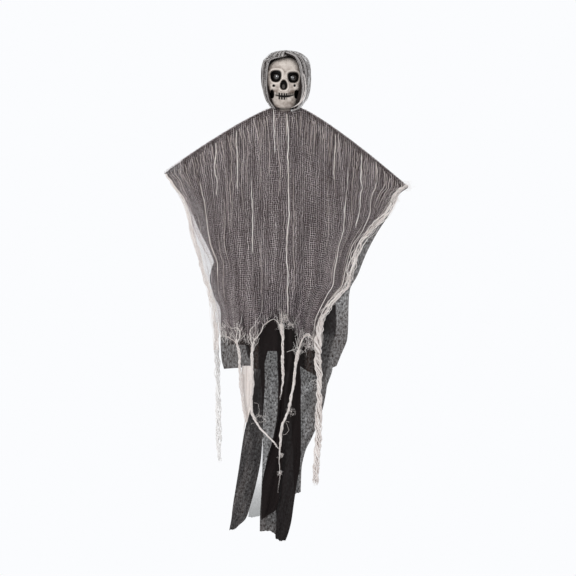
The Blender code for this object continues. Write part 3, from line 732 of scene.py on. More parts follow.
def loose_gauze(name, warp_cover, weft_cover, streaks, light="#D8CDCE", dark="#A4979B"):
    """Cheesecloth. Each cover is the share of the cloth that lies under those threads."""
    material, tree, shader = new_material(name, {"Roughness": 0.95, "IOR": 1.53})
    uv = add_node(tree, "UVMap", uv_map="cloth_metres")
    wander = spots(tree, uv, GAUZE_WANDER, 3.0).outputs["Color"]
    shift = add_node(tree, "VectorMath", (wander, (0.5, 0.5, 0.5)), operation="SUBTRACT")
    shift = add_node(tree, "VectorMath", {0: shift, "Scale": 1.6 * GAUZE_PITCH},
                     operation="SCALE")
    bent = add_node(tree, "VectorMath", (uv, shift), operation="ADD")
    axes = add_node(tree, "SeparateXYZ", (bent,))
    tall = add_node(tree, "Mapping", {"Vector": bent, "Scale": (1.0, 0.06, 1.0)})
    streak = spots(tree, tall, STREAK_WIDTH, 3.0, 0.65)
    swing = remap(tree, streak, (0.34, 0.66), (-1.0, 1.0), clamp=False)
    swing = maths(tree, "MULTIPLY", swing, attribute(tree, "pull"))
    swing = maths(tree, "MULTIPLY", swing, streaks)
    speckle = remap(tree, spots(tree, bent, GAUZE_GRAIN, 2.0, 0.7), (0.3, 0.7), (-0.8, 0.8))
    change = maths(tree, "ADD", maths(tree, "ADD", swing, speckle), 1.0)
    change = maths(tree, "MULTIPLY", change, attribute(tree, "bunching"))
    masks = []
    for axis, share in enumerate((warp_cover, weft_cover)):
        turn = maths(tree, "MULTIPLY", axes.outputs[axis], 2 * math.pi / GAUZE_PITCH)
        width = maths(tree, "MULTIPLY", change, math.pi * share)
        width = maths(tree, "MAXIMUM", maths(tree, "MINIMUM", width, math.pi), 0.02)
        edge = maths(tree, "COSINE", width)
        low = maths(tree, "SUBTRACT", edge, THREAD_EDGE)
        high = maths(tree, "ADD", edge, THREAD_EDGE)
        masks.append(remap(tree, maths(tree, "COSINE", turn), (low, high),
                           interpolation_type="SMOOTHSTEP"))
    cover = maths(tree, "MAXIMUM", *masks)
    # The streaks are painted in the lighter colour and the gaps between them in the darker one:
    # painted light and shade over the real bunching of the threads.
    colour = mix(tree, remap(tree, streak, (0.35, 0.65)), dark, light)
    relief = bump(tree, cover, 0.5, 0.5 * MM)
    fill(tree, shader, {"Base Color": colour, "Alpha": cover, "Normal": relief})
    return material


cape_gauze = loose_gauze("loose_woven_cheesecloth", 0.155, 0.125, 0.5)
print("gauze pitch:", GAUZE_PITCH)

# %% [markdown]
# ## The cape
# The cape is one gauze over the robe. Its warp threads hang from the sloping shoulders, so the
# grid's columns are those threads: near the middle they fall straight down, and towards the
# side edges they lean in with the edge. That makes the drawn threads lean as the real ones do.
# The hem is ragged, and the weave opens up close to it.

# %% Cape panels
CAPE_COLUMNS = 300
CAPE_ROWS = 170
CAPE_LENGTH = 0.4
CAPE_HALF_WIDTH = 0.2228
HEM_REFERENCE_Z = -0.51
CAPE_LIFT = 0.0006
RIDGE_THINNING = 0.5
RIDGE_THINNING_DROP = 0.012
FOLDED_EDGE_LAYERS = 3.4
PULL_AT_RIDGE = 1.6
PULL_BELOW = 0.2
PULL_DROP = 0.045


def thread_share(thread, narrowing):
    """Share of the panel's reach at which a warp thread hangs where the panel is narrower."""
    power = np.minimum(3.0, 0.9 / np.maximum(0.01, 1 - narrowing))
    return thread / (narrowing + (1 - narrowing) * np.abs(thread) ** power)


def gathers(x, drop):
    """Small upright pleats where the threads are pulled together under the shoulder."""
    pleat = noise(x / 0.0042, 3.0 + drop / 0.05)
    return 0.001 * np.exp(-drop / 0.06) * (0.5 + 0.5 * pleat)


def cape_place(panel, thread, level):
    """Points of the cape; level runs from 0 at the ridge to 1 at its hem."""
    x_top = thread * arm_reach(thread)
    z_top = ridge_z(CAPE, x_top)
    narrow = panel_reach(panel, thread, np.float64(HEM_REFERENCE_Z)) / arm_reach(thread)
    hem_across = thread_share(thread, narrow)
    ragged = 0.0035 * noise(x_top / 0.006, 11.0) + 0.002 * noise(x_top / 0.0022, 17.0)
    z_hem = -smooth_curve(panel.cape_hem, hem_across) + ragged
    z = z_top + (z_hem - z_top) * level
    reach = panel_reach(panel, thread, z)
    across = thread_share(thread, reach / arm_reach(thread))
    x = across * reach
    drop = z_top - z
    lean = 0.0012 * noise(thread * 30, z / 0.05) * np.minimum(1.0, drop / 0.03)
    x = x + lean * (1 - across**2)
    y = drape(panel, CAPE, across, x, drop)
    y = y + panel.facing * (gathers(x, drop) + wrinkles(x, z, *CAPE_WRINKLES) + CAPE_LIFT)
    return together(x, y, z), drop


def cape_patch(panel, columns, rows, bunched):
    """A panel of the cape, and how far its threads are pulled together at each point."""
    thread = np.linspace(-1, 1, columns)[None, :]
    level = (np.linspace(0, 1, rows) ** 1.2)[:, None]
    points, drop = cape_place(panel, thread, level)
    x, z = points[..., 0], points[..., 2]
    opening = smooth_step(0.93, 1.0, level) * (0.35 + 0.35 * noise(thread * 40, 2.0))
    near_ridge = np.exp(-drop / RIDGE_THINNING_DROP)
    folded_edge = smooth_step(0.88, 0.98, -thread) * smooth_step(0.03, 0.1, drop)
    folded_edge = FOLDED_EDGE_LAYERS * folded_edge
    bunched = bunched * (1 - opening) * (1 - RIDGE_THINNING * near_ridge) * (1 + folded_edge)
    bunched = bunched * (1 + 0.14 * smooth_step(0.15, 0.32, drop))
    bunched = bunched * (1 + 0.5 * folded_edge * noise(thread * 90, drop / 0.05))
    # Creases gather the gauze a little, and this noise also paints the soft light and shade of
    # folds and diagonal wrinkles lower down.
    creases_and_fold_shade = 0.13 * noise(x / 0.011, z / 0.05) + 0.1 * noise((x + 0.6 * z) / 0.01, z / 0.035)
    bunched = bunched * (1 + creases_and_fold_shade * smooth_step(0.05, 0.15, drop))
    if panel.facing == FRONT:
        bunched = bunched * (1 - 0.9 * in_slit(x, -z))
    pull = PULL_BELOW + PULL_AT_RIDGE * np.exp(-drop / PULL_DROP)
    uv = together(thread * CAPE_HALF_WIDTH, level * CAPE_LENGTH)
    return Patch(points, uv, bunched), np.broadcast_to(pull, bunched.shape)


front_cape, front_pull = cape_patch(FRONT_PANEL, CAPE_COLUMNS, CAPE_ROWS, 1.0)
back_cape, back_pull = cape_patch(BACK_PANEL, CAPE_COLUMNS // 2, CAPE_ROWS // 2, 1.35)
cape_patches = [front_cape, back_cape] + ridge_patches(CAPE, front_cape, -1.0)
pulls = [front_pull, back_pull] + [np.full(p.points.shape[:2], 1.2) for p in cape_patches[2:]]
cape = join_patches(
    "gauze_cape_cloth", cape_patches, cape_gauze, "grey_gauze",
    pull=np.concatenate([p.ravel() for p in pulls]),
)
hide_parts("gauze_cape")

# %% [markdown]
# ## Yarns
# Pulled threads, frays and the long twisted strands are real yarns, so they are real geometry.
# A yarn is a thin tube along a path. Many tubes go into one mesh, because thousands of objects
# would be slow to handle.

# %% Yarn tubes
YARN_SIDES = 5


def tube(path, radius):
    """Points and quads of a thin tube along a path of points."""
    path = np.asarray(path, float)
    heading = np.gradient(path, axis=0)
    heading /= np.linalg.norm(heading, axis=1, keepdims=True) + 1e-12
    side = np.cross(heading, [0.0, 1.0, 0.0])
    side /= np.linalg.norm(side, axis=1, keepdims=True) + 1e-12
    up = np.cross(side, heading)
    angle = 2 * math.pi * np.arange(YARN_SIDES) / YARN_SIDES
    round_it = side[:, None] * np.cos(angle)[:, None] + up[:, None] * np.sin(angle)[:, None]
    points = path[:, None] + round_it * np.broadcast_to(radius, len(path))[:, None, None]
    ring = np.arange(YARN_SIDES)
    after = (ring + 1) % YARN_SIDES
    start = np.arange(len(path) - 1)[:, None] * YARN_SIDES
    below = start + YARN_SIDES
    faces = np.stack([start + ring, start + after, below + after, below + ring], axis=-1)
    return points.reshape(-1, 3), faces.reshape(-1, 4)


def link_yarns(name, yarns, material):
    """One mesh from many (path, radius) yarns, each with its own tone from 0 to 1."""
    tubes = [tube(path, radius) for path, radius in yarns]
    sizes = [len(points) for points, _ in tubes]
    starts = np.cumsum([0] + sizes)
    faces = np.concatenate([faces + start for (_, faces), start in zip(tubes, starts)])
    tones = 0.5 + 0.5 * noise(np.arange(len(yarns)) * 0.73, 31.0)
    obj = link_mesh(name, np.concatenate([points for points, _ in tubes]), faces, material,
                    "grey_gauze", tone=np.repeat(tones, sizes))
    print(f"{name}: {len(yarns)} yarns, {2 * len(faces)} triangles")
    return obj


# %% [markdown]
# ## Cotton yarn
# Spun cotton is matt and a little fuzzy. Single yarns differ in tone, which keeps a strand of
# them from looking like one cast piece, so each yarn carries its own tone.

# %% Yarn material
YARN_FUZZ = 2.2 * MM


def spun_cotton(name, dark, light):
    material, tree, shader = new_material(
        name, {"Roughness": 0.93, "IOR": 1.53, "Sheen Weight": 0.15})
    fuzz = spots(tree, add_node(tree, "TexCoord").outputs["Object"], YARN_FUZZ, 3.0)
    mixed = remap(tree, maths(tree, "ADD", attribute(tree, "tone"), fuzz), (0.5, 1.4))
    colour = mix(tree, mixed, dark, light)
    fill(tree, shader, {"Base Color": colour, "Normal": bump(tree, fuzz, 0.6, 0.3 * MM)})
    return material


strand_cotton = spun_cotton("spun_cotton_strand", "#DFD4CF", "#FFFBF8")
streak_cotton = spun_cotton("spun_cotton_thread", "#A79A95", "#E3D8D3")

# %% [markdown]
# ## Pulled threads
# Under the shoulders every few millimetres a thread bundle stands out and runs down over the
# cloth before it sinks into the weave again. A few long ones run nearly to the hem. Each follows
# one warp thread of the cape, so it lies on the gauze wherever the gauze goes.

# %% Pulled threads
def cape_path(panel, thread, start, end, count, wander, seed, lean=0.0):
    """A path down the cape along one warp thread, between two levels."""
    level = np.linspace(start, end, count)
    shifted = thread + wander * noise(level * 14 + seed, seed * 1.7)
    shifted = shifted + 0.35 * wander * noise(level * 45 + seed, seed * 2.3)
    inward = lean * np.sin(math.pi * abs(thread)) * np.linspace(0, 1, count) ** 1.3
    shifted = shifted - math.copysign(1.0, thread) * inward
    points, _ = cape_place(panel, np.clip(shifted, -0.995, 0.995), level)
    points[:, 1] += panel.facing * CAPE_LIFT
    return points


SHORT_THREADS = ((FRONT_PANEL, 80), (BACK_PANEL, 66))
LONG_THREADS = 46
SHORT_POINTS = 34
LONG_POINTS = 60
WANDER = 0.014

rng = np.random.default_rng(21)
pulled_yarns = []
for panel, count in SHORT_THREADS:
    for number in range(count):
        thread = -0.97 + 1.94 * (number + rng.uniform(-0.35, 0.35)) / (count - 1)
        length = rng.uniform(0.07, 0.21) * (0.75 + 0.5 * abs(thread))
        start = rng.uniform(0.012, 0.035)
        lean = (0.3 if thread < 0 else 0.12) * length
        path = cape_path(panel, thread, start, start + length, SHORT_POINTS, WANDER, number, lean)
        thickness = rng.uniform(0.24, 0.64) * MM
        fade = 1 - 0.75 * smooth_step(0.4, 1.0, np.linspace(0, 1, SHORT_POINTS))
        pulled_yarns.append((path, thickness * fade))
for number in range(LONG_THREADS):
    panel = FRONT_PANEL if number % 3 else BACK_PANEL
    thread = rng.uniform(-0.93, 0.93)
    start = rng.uniform(0.02, 0.6)
    end = start + rng.uniform(0.12, 0.38)
    path = cape_path(panel, thread, start, end, LONG_POINTS, WANDER, number + 200)
    fade = np.sin(math.pi * np.linspace(0.06, 0.94, LONG_POINTS)) ** 0.5
    pulled_yarns.append((path, rng.uniform(0.22, 0.42) * MM * fade))
pulled = link_yarns("pulled_threads", pulled_yarns, streak_cotton)

# %% Long bright bundles
Bundle = namedtuple("Bundle", "thread start end yarns spread")
LONG_BUNDLES = [
    Bundle(0.012, 0.02, 0.97, 5, 0.0075), Bundle(0.74, 0.0, 0.93, 3, 0.006),
    Bundle(0.5, 0.14, 0.96, 3, 0.005), Bundle(-0.28, 0.28, 0.62, 3, 0.005),
    Bundle(-0.72, 0.16, 0.7, 2, 0.004), Bundle(-0.4, 0.02, 0.3, 3, 0.005),
    Bundle(0.4, 0.02, 0.24, 3, 0.005), Bundle(-0.58, 0.02, 0.28, 3, 0.006),
    Bundle(0.62, 0.02, 0.4, 3, 0.005), Bundle(-0.1, 0.0, 0.22, 2, 0.004),
]
BUNDLE_POINTS = 110
BUNDLE_RADIUS = 0.5 * MM
BUNDLE_YARN_RADIUS = 0.46 * MM

bundle_yarns = []
for number, bundle in enumerate(LONG_BUNDLES):
    for strand in range(bundle.yarns):
        offset = bundle.spread * (strand / max(1, bundle.yarns - 1) - 0.5) / 2
        path = cape_path(FRONT_PANEL, bundle.thread + offset, bundle.start, bundle.end,
                         BUNDLE_POINTS, 0.01, 400 + 3 * number)
        turn = 2 * math.pi * (np.linspace(0, 9, BUNDLE_POINTS) + 2 * strand) / 3
        path[:, 0] += BUNDLE_RADIUS * np.sin(turn)
        path[:, 1] -= BUNDLE_RADIUS * (1 + np.cos(turn))
        fade = np.minimum(1.0, 5 * np.sin(math.pi * np.linspace(0.01, 0.99, BUNDLE_POINTS)))
        patchy = 0.7 + 0.5 * noise(np.linspace(0, 12, BUNDLE_POINTS) + number, 9.0 * strand)
        bundle_yarns.append((path, BUNDLE_YARN_RADIUS * fade * patchy))
bundles = link_yarns("long_thread_bundles", bundle_yarns, strand_cotton)

# %% [markdown]
# ## Twisted strands
# Where the gauze was torn, whole strips have rolled up into strands that hang far below the hem.
# A strand is a handful of yarns that turn round one another, wider where it is loose. Each runs
# through places chosen from the photograph, as (across, drop, width), at its own depth.

# %% Strands
Strand = namedtuple("Strand", "name depth yarns turns loose places")
STRANDS = [
    Strand("strand_far_left", 0.012, 13, 4, 0.02, [
        (-0.13, 0.49, 0.011), (-0.127, 0.54, 0.011), (-0.1255, 0.586, 0.011),
        (-0.125, 0.632, 0.012), (-0.124, 0.668, 0.012), (-0.1225, 0.714, 0.011),
        (-0.122, 0.747, 0.008),
    ]),
    Strand("strand_left", -0.032, 9, 9, 0.25, [
        (-0.0905, 0.521, 0.004), (-0.0885, 0.532, 0.0065), (-0.0857, 0.548, 0.0065),
        (-0.084, 0.57, 0.006), (-0.083, 0.605, 0.0055), (-0.077, 0.645, 0.005),
        (-0.075, 0.665, 0.004), (-0.078, 0.698, 0.002),
    ]),
    Strand("strand_middle_left", -0.036, 10, 11, 0.15, [
        (-0.059, 0.526, 0.0065), (-0.062, 0.546, 0.006), (-0.062, 0.57, 0.006),
        (-0.061, 0.61, 0.006), (-0.064, 0.63, 0.006), (-0.063, 0.652, 0.006),
        (-0.052, 0.675, 0.0055), (-0.035, 0.695, 0.0055), (-0.022, 0.709, 0.005),
        (-0.011, 0.722, 0.003),
    ]),
    Strand("strand_middle", -0.036, 9, 8, 0.35, [
        (-0.009, 0.493, 0.008), (-0.006, 0.519, 0.0065), (-0.006, 0.562, 0.006),
        (-0.005, 0.584, 0.006), (-0.008, 0.61, 0.005), (-0.011, 0.631, 0.003),
    ]),
    Strand("strand_middle_right", -0.038, 10, 12, 0.42, [
        (0.023, 0.54, 0.008), (0.018, 0.56, 0.007), (0.016, 0.584, 0.006),
        (0.009, 0.631, 0.006), (0.002, 0.658, 0.006), (-0.008, 0.681, 0.0055),
        (-0.01, 0.716, 0.004), (-0.012, 0.743, 0.0016), (-0.011, 0.763, 0.0024),
        (-0.015, 0.8, 0.001),
    ]),
    Strand("strand_right", -0.02, 14, 5, 0.02, [
        (0.063, 0.489, 0.014), (0.058, 0.529, 0.0145), (0.058, 0.562, 0.014),
        (0.061, 0.597, 0.0135), (0.06, 0.631, 0.013), (0.0595, 0.68, 0.014),
        (0.057, 0.72, 0.0155), (0.0547, 0.757, 0.015), (0.0535, 0.788, 0.011),
    ]),
]
STRAND_POINTS = 150


def twisted_yarns(strand, seed):
    """The yarns of one strand, turning round its middle line."""
    number = np.linspace(0, len(strand.places) - 1, STRAND_POINTS)
    x, drop, width = along(strand.places, number)
    rough = 1 + 0.25 * noise(drop / 0.008, seed)
    yarns = []
    for k in range(strand.yarns):
        phase = 2 * math.pi * k / strand.yarns + 0.8 * noise(drop / 0.03, seed + k)
        turn = phase + 2 * math.pi * strand.turns * number / number[-1]
        out = 0.5 * width * rough * (0.55 + 0.35 * noise(drop / 0.02 + k, seed + 3.0 * k))
        path = together(
            x + out * np.cos(turn) + 0.0008 * noise(drop / 0.012, seed),
            strand.depth + 0.6 * out * np.sin(turn), -drop)
        end = number[-1] * (1 - strand.loose * k / strand.yarns)
        thin = 1 - 0.92 * smooth_step(end - 0.2 - 1.5 * strand.loose, end, number)
        thin = thin * np.minimum(1.0, width / 0.0036)
        # A wide strand is made of thicker yarns.
        radius = (0.42 + 25 * width + 60 * np.maximum(0.0, width - 0.01)) * MM
        yarns.append((path, radius * thin))
    return yarns


# The far-left strand lets light through, and that light is painted into its colour as a brighter
# white.
lit_through_cotton = spun_cotton("lit_through_cotton_strand", "#FBF8F6", "#FFFEFD")
for number, strand in enumerate(STRANDS):
    cotton = lit_through_cotton if strand.name == "strand_far_left" else strand_cotton
    link_yarns(strand.name, twisted_yarns(strand, 50.0 + 7 * number), cotton)

# %% [markdown]
# ## Torn edges
# On both sides the cape's edge has rolled up into a loose pale band that runs into the outer
# strands. At the hem the torn threads run together into the tops of the strands, and loose ends
# hang and curl everywhere. All of it lies on the cape, so its depth is looked up there.

# %% Depth of the cape
cape_points = front_cape.points.reshape(-1, 3)[::5]


def on_cape(x, z, lift=0.0012):
    """Depth of the front cape at the nearest of its points, a little outside it."""
    gap = (cape_points[:, 0] - x[:, None]) ** 2 + (cape_points[:, 2] - z[:, None]) ** 2
    return cape_points[gap.argmin(axis=1), 1] - lift


# %% Rolled side edges
EdgeBand = namedtuple("EdgeBand", "name yarns places")
EDGE_BANDS = [
    EdgeBand("rolled_edge_left", 15, [
        (-0.2205, 0.2185, 0.002), (-0.211, 0.233, 0.004), (-0.186, 0.271, 0.005),
        (-0.1725, 0.324, 0.006), (-0.159, 0.37, 0.007), (-0.1475, 0.412, 0.007),
        (-0.137, 0.445, 0.008), (-0.1295, 0.49, 0.01), (-0.1262, 0.54, 0.009),
    ]),
    EdgeBand("rolled_edge_right", 18, [
        (0.2213, 0.2387, 0.003), (0.2048, 0.2497, 0.011), (0.1856, 0.2881, 0.013),
        (0.1555, 0.321, 0.015), (0.1335, 0.3502, 0.013), (0.1207, 0.3896, 0.013),
        (0.1134, 0.419, 0.01), (0.0969, 0.4381, 0.011), (0.0768, 0.4655, 0.012),
        (0.0633, 0.4893, 0.011), (0.0585, 0.529, 0.011),
    ]),
]
BAND_POINTS = 150


def band_yarns(edge, seed):
    """Loose yarns that run along a side edge, crossing one another a little."""
    number = np.linspace(0, len(edge.places) - 1, BAND_POINTS)
    x, drop, width = along(edge.places, number)
    y = on_cape(x, -drop)
    yarns = []
    for k in range(edge.yarns):
        share = (k + 0.5) / edge.yarns - 0.5
        weave = share + 0.35 * noise(number * 1.6 + 3 * k, seed + k) + 0.12 * noise(number * 6, k)
        path = together(x + width * weave + 0.0012 * noise(number * 2.2, seed),
                        y - 0.0012 * (1 + noise(number * 2 + k, seed + 2.0 * k)), -drop)
        yarns.append((path, 0.55 * MM * (0.75 + 0.5 * noise(number * 2 + 5 * k, seed))))
    return yarns


for number, edge in enumerate(EDGE_BANDS):
    link_yarns(edge.name, band_yarns(edge, 130.0 + 9 * number), strand_cotton)

# %% Funnels above the strands
FUNNEL_YARNS = 9
FUNNEL_POINTS = 40
# Width and height of the funnel of threads over each strand.
STRAND_SPREAD = {
    "strand_left": (0.034, 0.034), "strand_middle_left": (0.022, 0.03),
    "strand_middle": (0.012, 0.03), "strand_middle_right": (0.03, 0.034),
}

rng = np.random.default_rng(44)
fray_yarns = []
t = np.linspace(0, 1, FUNNEL_POINTS)
for strand in [s for s in STRANDS if s.name in STRAND_SPREAD]:
    spread, rise = STRAND_SPREAD[strand.name]
    top_x, top_drop, top_width = strand.places[0]
    second_x, second_drop, _ = strand.places[1]
    for k in range(FUNNEL_YARNS):
        share = 2 * k / (FUNNEL_YARNS - 1) - 1
        start_x = top_x + share * spread / 2 + rng.uniform(-0.003, 0.003)
        start_z = -top_drop + rise * (0.35 + 0.65 * (1 - share**2)) * rng.uniform(0.6, 1.0)
        x = start_x + (top_x + 0.15 * share * top_width - start_x) * smooth_step(0, 0.75, t)
        x = x + (second_x - top_x) * smooth_step(0.7, 1.0, t)
        z = start_z + (-second_drop - start_z) * t
        x = x + 0.0016 * noise(t * 6 + k, 7.0 * k) * (1 - t)
        near = on_cape(x, z)
        y = near + (strand.depth - near) * smooth_step(0.3, 0.9, t)
        fray_yarns.append((together(x, y, z), rng.uniform(0.18, 0.38) * MM))

# %% [markdown]
# ## Forked tops
# Over each strand the torn threads branch like roots, and fine loops stand off lower down. Their
# places are pixels of the photograph, where one pixel is 1.829 mm and the hanging eye lies at
# the named pixel. Each fork also has its yarn's radius in millimetres.

# %% Forks and loops
PIXEL = 1.829 * MM
EYE_PIXEL = (286.0, 54.5)
STRAND_Y = -0.0385
FORK_POINTS = 40
FORKS = [
    (0.62, [(220.7, 335.7), (227.1, 336.4), (232.0, 339.0), (235.5, 342.0), (237.5, 346.0)]),
    (0.72, [(231.4, 328.6), (236.0, 327.7), (239.2, 329.6), (240.0, 334.3), (238.0, 342.0)]),
    (0.3, [(222.9, 320.0), (226.0, 323.5), (229.0, 327.2), (233.0, 328.4)]),
    (0.3, [(225.7, 320.0), (228.4, 324.0), (231.4, 327.9)]),
    (0.34, [(242.0, 314.0), (241.6, 320.0), (239.0, 327.1)]),
    (0.7, [(253.6, 326.6), (251.2, 328.8), (250.0, 332.9), (250.6, 338.0), (252.0, 343.5)]),
    (0.34, [(262.3, 300.0), (262.1, 308.6), (257.9, 319.0), (253.6, 326.6)]),
    (0.76, [(280.0, 327.1), (277.9, 322.1), (273.6, 319.0), (268.6, 321.4), (263.6, 325.7),
            (261.4, 331.6), (257.6, 336.6), (253.4, 341.6), (252.4, 346.0)]),
    (0.32, [(284.6, 300.0), (284.0, 308.0), (285.0, 314.5), (282.4, 321.0), (280.6, 328.0)]),
    (0.34, [(293.4, 328.0), (289.0, 321.0), (285.0, 315.0), (281.6, 322.0), (281.0, 330.0)]),
    (0.3, [(292.6, 318.0), (296.6, 328.0), (298.2, 340.0), (296.0, 348.0), (286.4, 351.6)]),
    (0.3, [(302.4, 331.0), (304.4, 336.0), (308.0, 341.0), (313.0, 347.0)]),
    (0.3, [(319.0, 318.0), (312.0, 322.0), (316.0, 328.0), (319.6, 334.0)]),
    (0.26, [(254.0, 402.0), (258.6, 404.0), (259.4, 410.0), (257.0, 417.0), (254.6, 419.0)]),
    (0.24, [(283.0, 420.0), (287.4, 424.0), (288.4, 429.0), (284.6, 434.0), (281.6, 433.0)]),
    (0.24, [(280.8, 423.0), (284.0, 420.0), (289.0, 421.6)]),
]


def fork_path(pixels):
    """A smooth path over the cape through pixels of the photograph."""
    place = np.linspace(0, len(pixels) - 1, FORK_POINTS)
    across, down = along(pixels, place)
    x, z = (across - EYE_PIXEL[0]) * PIXEL, (EYE_PIXEL[1] - down) * PIXEL
    low = smooth_step(0.5, 0.535, -z)
    y = on_cape(x, z) * (1 - low) + STRAND_Y * low - 0.0008
    return together(x + 0.0004 * noise(place * 2.3, x[0] * 999), y, z)


taper = 0.45 + 0.55 * np.linspace(0, 1, FORK_POINTS) ** 0.6
for radius, pixels in FORKS:
    thick = radius > 0.5
    for side in range(2 if thick else 1):
        path = fork_path(pixels)
        turn = np.linspace(0, 14, FORK_POINTS) + 3 * side
        path[:, 0] += 0.0005 * np.sin(turn)
        path[:, 1] += 0.0005 * np.cos(turn)
        fray_yarns.append((path, radius * MM * taper * (0.8 if thick else 1.0)))

# %% [markdown]
# ## Loose ends
# Single threads stand off all along the torn hem, and small fuzzy tufts sit where strands
# start, cross or end. A tuft is a few curled threads of nearly the same start.

# %% Loose ends and tufts
LOOSE_ENDS = 230
ARCH_YARNS = 5
TUFT_Y = -0.037
TUFT_ON_CAPE = 0.52


def curl(start, length, droop, size, seed):
    """A fine loose end that wanders away from its start and hangs down a little."""
    t = np.linspace(0, 1, 26)
    x = start[0] + size * noise(t * 3.1 + seed, 2.0 * seed) * t**0.6
    z = start[2] - droop * length * t + size * 0.8 * noise(t * 3.7 + seed, 5.0 * seed) * t**0.6
    y = start[1] - 0.0015 - 0.004 * t * (0.5 + 0.5 * noise(t * 2 + seed, 3.0 * seed))
    return together(x, y, z)


for number in range(LOOSE_ENDS):
    thread = rng.uniform(-0.97, 0.97)
    points, _ = cape_place(FRONT_PANEL, np.array([thread]), np.array([rng.uniform(0.93, 1.0)]))
    length = rng.uniform(0.004, 0.018)
    path = curl(points[0], length, 0.9, 0.003, 300.0 + number)
    fray_yarns.append((path, rng.uniform(0.1, 0.22) * MM))

TUFTS = [
    (-0.008, 0.493, 0.0046, 10), (-0.003, 0.48, 0.005, 10), (0.0055, 0.493, 0.005, 9),
    (-0.011, 0.763, 0.0024, 12), (-0.0095, 0.73, 0.003, 9), (0.023, 0.538, 0.006, 7),
    (0.042, 0.532, 0.006, 7), (-0.089, 0.502, 0.005, 6), (-0.06, 0.518, 0.005, 5),
    (0.22, 0.238, 0.006, 12), (0.195, 0.262, 0.006, 10), (0.114, 0.41, 0.0055, 8),
    (-0.047, 0.66, 0.008, 4), (0.008, 0.65, 0.008, 4), (0.056, 0.6, 0.006, 4),
]
for number, (x, drop, size, count) in enumerate(TUFTS):
    y = on_cape(np.array([x]), np.array([-drop]))[0] if drop < TUFT_ON_CAPE else TUFT_Y
    for k in range(count):
        start = np.array([x, y - 0.001, -drop]) + size * 0.4 * rng.uniform(-1, 1, 3) * [1, 0.4, 1]
        path = curl(start, size, 0.3, 2.6 * size, 700.0 + 40 * number + k)
        fray_yarns.append((path, rng.uniform(0.08, 0.15) * MM))

# An arch of threads stands over the hem on the right, from one strand's top to the next.
t = np.linspace(0, 1, 60)
for k in range(ARCH_YARNS):
    x = 0.023 + 0.028 * t + 0.0015 * noise(t * 5 + k, 4.0 * k)
    z = -0.539 + (0.017 + 0.0012 * k) * np.sin(math.pi * t) ** 0.8 + 0.013 * t
    fray_yarns.append((together(x, on_cape(x, z) - 0.003, z), 0.5 * MM))
frays = link_yarns("torn_hem_threads", fray_yarns, strand_cotton)

# %% [markdown]
# ## A scrap of gauze
# One pale strip of gauze hangs between two strands on the left. It is folded many times over,
# so it counts for many layers and looks nearly solid.

# %% Scrap of gauze
SCRAP_Y = -0.022
SCRAP_LAYERS = 9.0
SCRAP_PLACES = [
    (-0.0705, 0.569, 0.019), (-0.0705, 0.588, 0.022), (-0.071, 0.612, 0.021),
    (-0.0715, 0.64, 0.018), (-0.072, 0.655, 0.011), (-0.0722, 0.672, 0.003),
]
scrap_gauze = loose_gauze("loose_woven_scrap_gauze", 0.155, 0.125, 0.2, "#F8F0EB", "#E6DDD8")
number = np.linspace(0, len(SCRAP_PLACES) - 1, 70)[:, None]
middle, drop, width = along(SCRAP_PLACES, number)
share = np.linspace(-0.5, 0.5, 30)[None, :]
points = together(middle + width * share, SCRAP_Y + 0.002 * noise(share * 6, number), -drop)
scrap = join_patches(
    "gauze_scrap", [Patch(points, points[..., [0, 2]], SCRAP_LAYERS)],
    scrap_gauze, "grey_gauze", pull=np.full(points[..., 0].size, 0.4))

# %% [markdown]
# ## The wire
# The shoulder wire keeps its own solid, because its shape is right. Galvanised steel is drawn
# wire with a thin zinc coat: a grey metal, neither mirror bright nor matt.

# %% Wire material
zinc, tree, shader = new_material("drawn_galvanised_steel", {"Metallic": 1.0})
spangle = spots(tree, add_node(tree, "TexCoord").outputs["Object"], 1.5 * MM, 2.0)
fill(tree, shader, {"Base Color": mix(tree, spangle, "#8E9093", "#B4B6B8"),
                    "Roughness": remap(tree, spangle, (0.0, 1.0), (0.28, 0.5))})
wire_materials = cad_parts["arm_wire"].data.materials
wire_materials.clear()
wire_materials.append(zinc)

# %% [markdown]
# ## The skull
# The head is a hollow moulding. Rings run round it from the crown to the neck, and the face is
# pressed in where the eye sockets, the nose and the jaw hollows lie. Each hollow is an oval given
# in metres: its middle, its half sizes, its depth, how square it is and how it narrows upward.

# %% Skull rings
SKULL_WIDTH = 0.072
SKULL_HEIGHT = 0.0955
FACE_DEPTH = 0.037
BACK_DEPTH = 0.038
SKULL_SIDE_SHIFT = -0.002
CROWN_Z = -0.0046
FACE_SQUARENESS = 0.8
SKULL_WALL = 0.0016
NECK_RADIUS = 0.0115
NECK_BOTTOM_Z = -0.1064
# Each ring: its height at the front and at the back, its width, and its depth in front and
# behind, as shares of the skull's height, width and depths.
SKULL_RINGS = [
    (0.0, 0.0, 0.0, 0.0, 0.0), (0.022, 0.022, 0.33, 0.34, 0.34),
    (0.065, 0.062, 0.56, 0.6, 0.58), (0.135, 0.125, 0.77, 0.8, 0.79),
    (0.215, 0.205, 0.9, 0.91, 0.92), (0.3, 0.285, 0.97, 0.96, 0.99),
    (0.385, 0.365, 1.0, 0.97, 1.0), (0.465, 0.445, 0.99, 0.95, 0.98),
    (0.545, 0.52, 0.955, 0.95, 0.95), (0.625, 0.59, 0.89, 0.96, 0.88),
    (0.7, 0.65, 0.81, 0.98, 0.78), (0.78, 0.71, 0.74, 1.0, 0.68),
    (0.86, 0.77, 0.71, 0.98, 0.58), (0.93, 0.84, 0.66, 0.94, 0.48),
    (0.98, 0.875, 0.58, 0.84, 0.41), (1.0, 0.885, 0.44, 0.68, 0.37),
    (0.985, 0.895, 0.36, 0.48, 0.34),
]


def round_head(angle, width, front, back):
    """Place on a ring round the head; angle 0 is the front, positive to +X."""
    ahead = np.cos(angle)
    y = np.where(ahead > 0, -front * np.maximum(ahead, 0) ** FACE_SQUARENESS, -back * ahead)
    return width * np.sin(angle), y
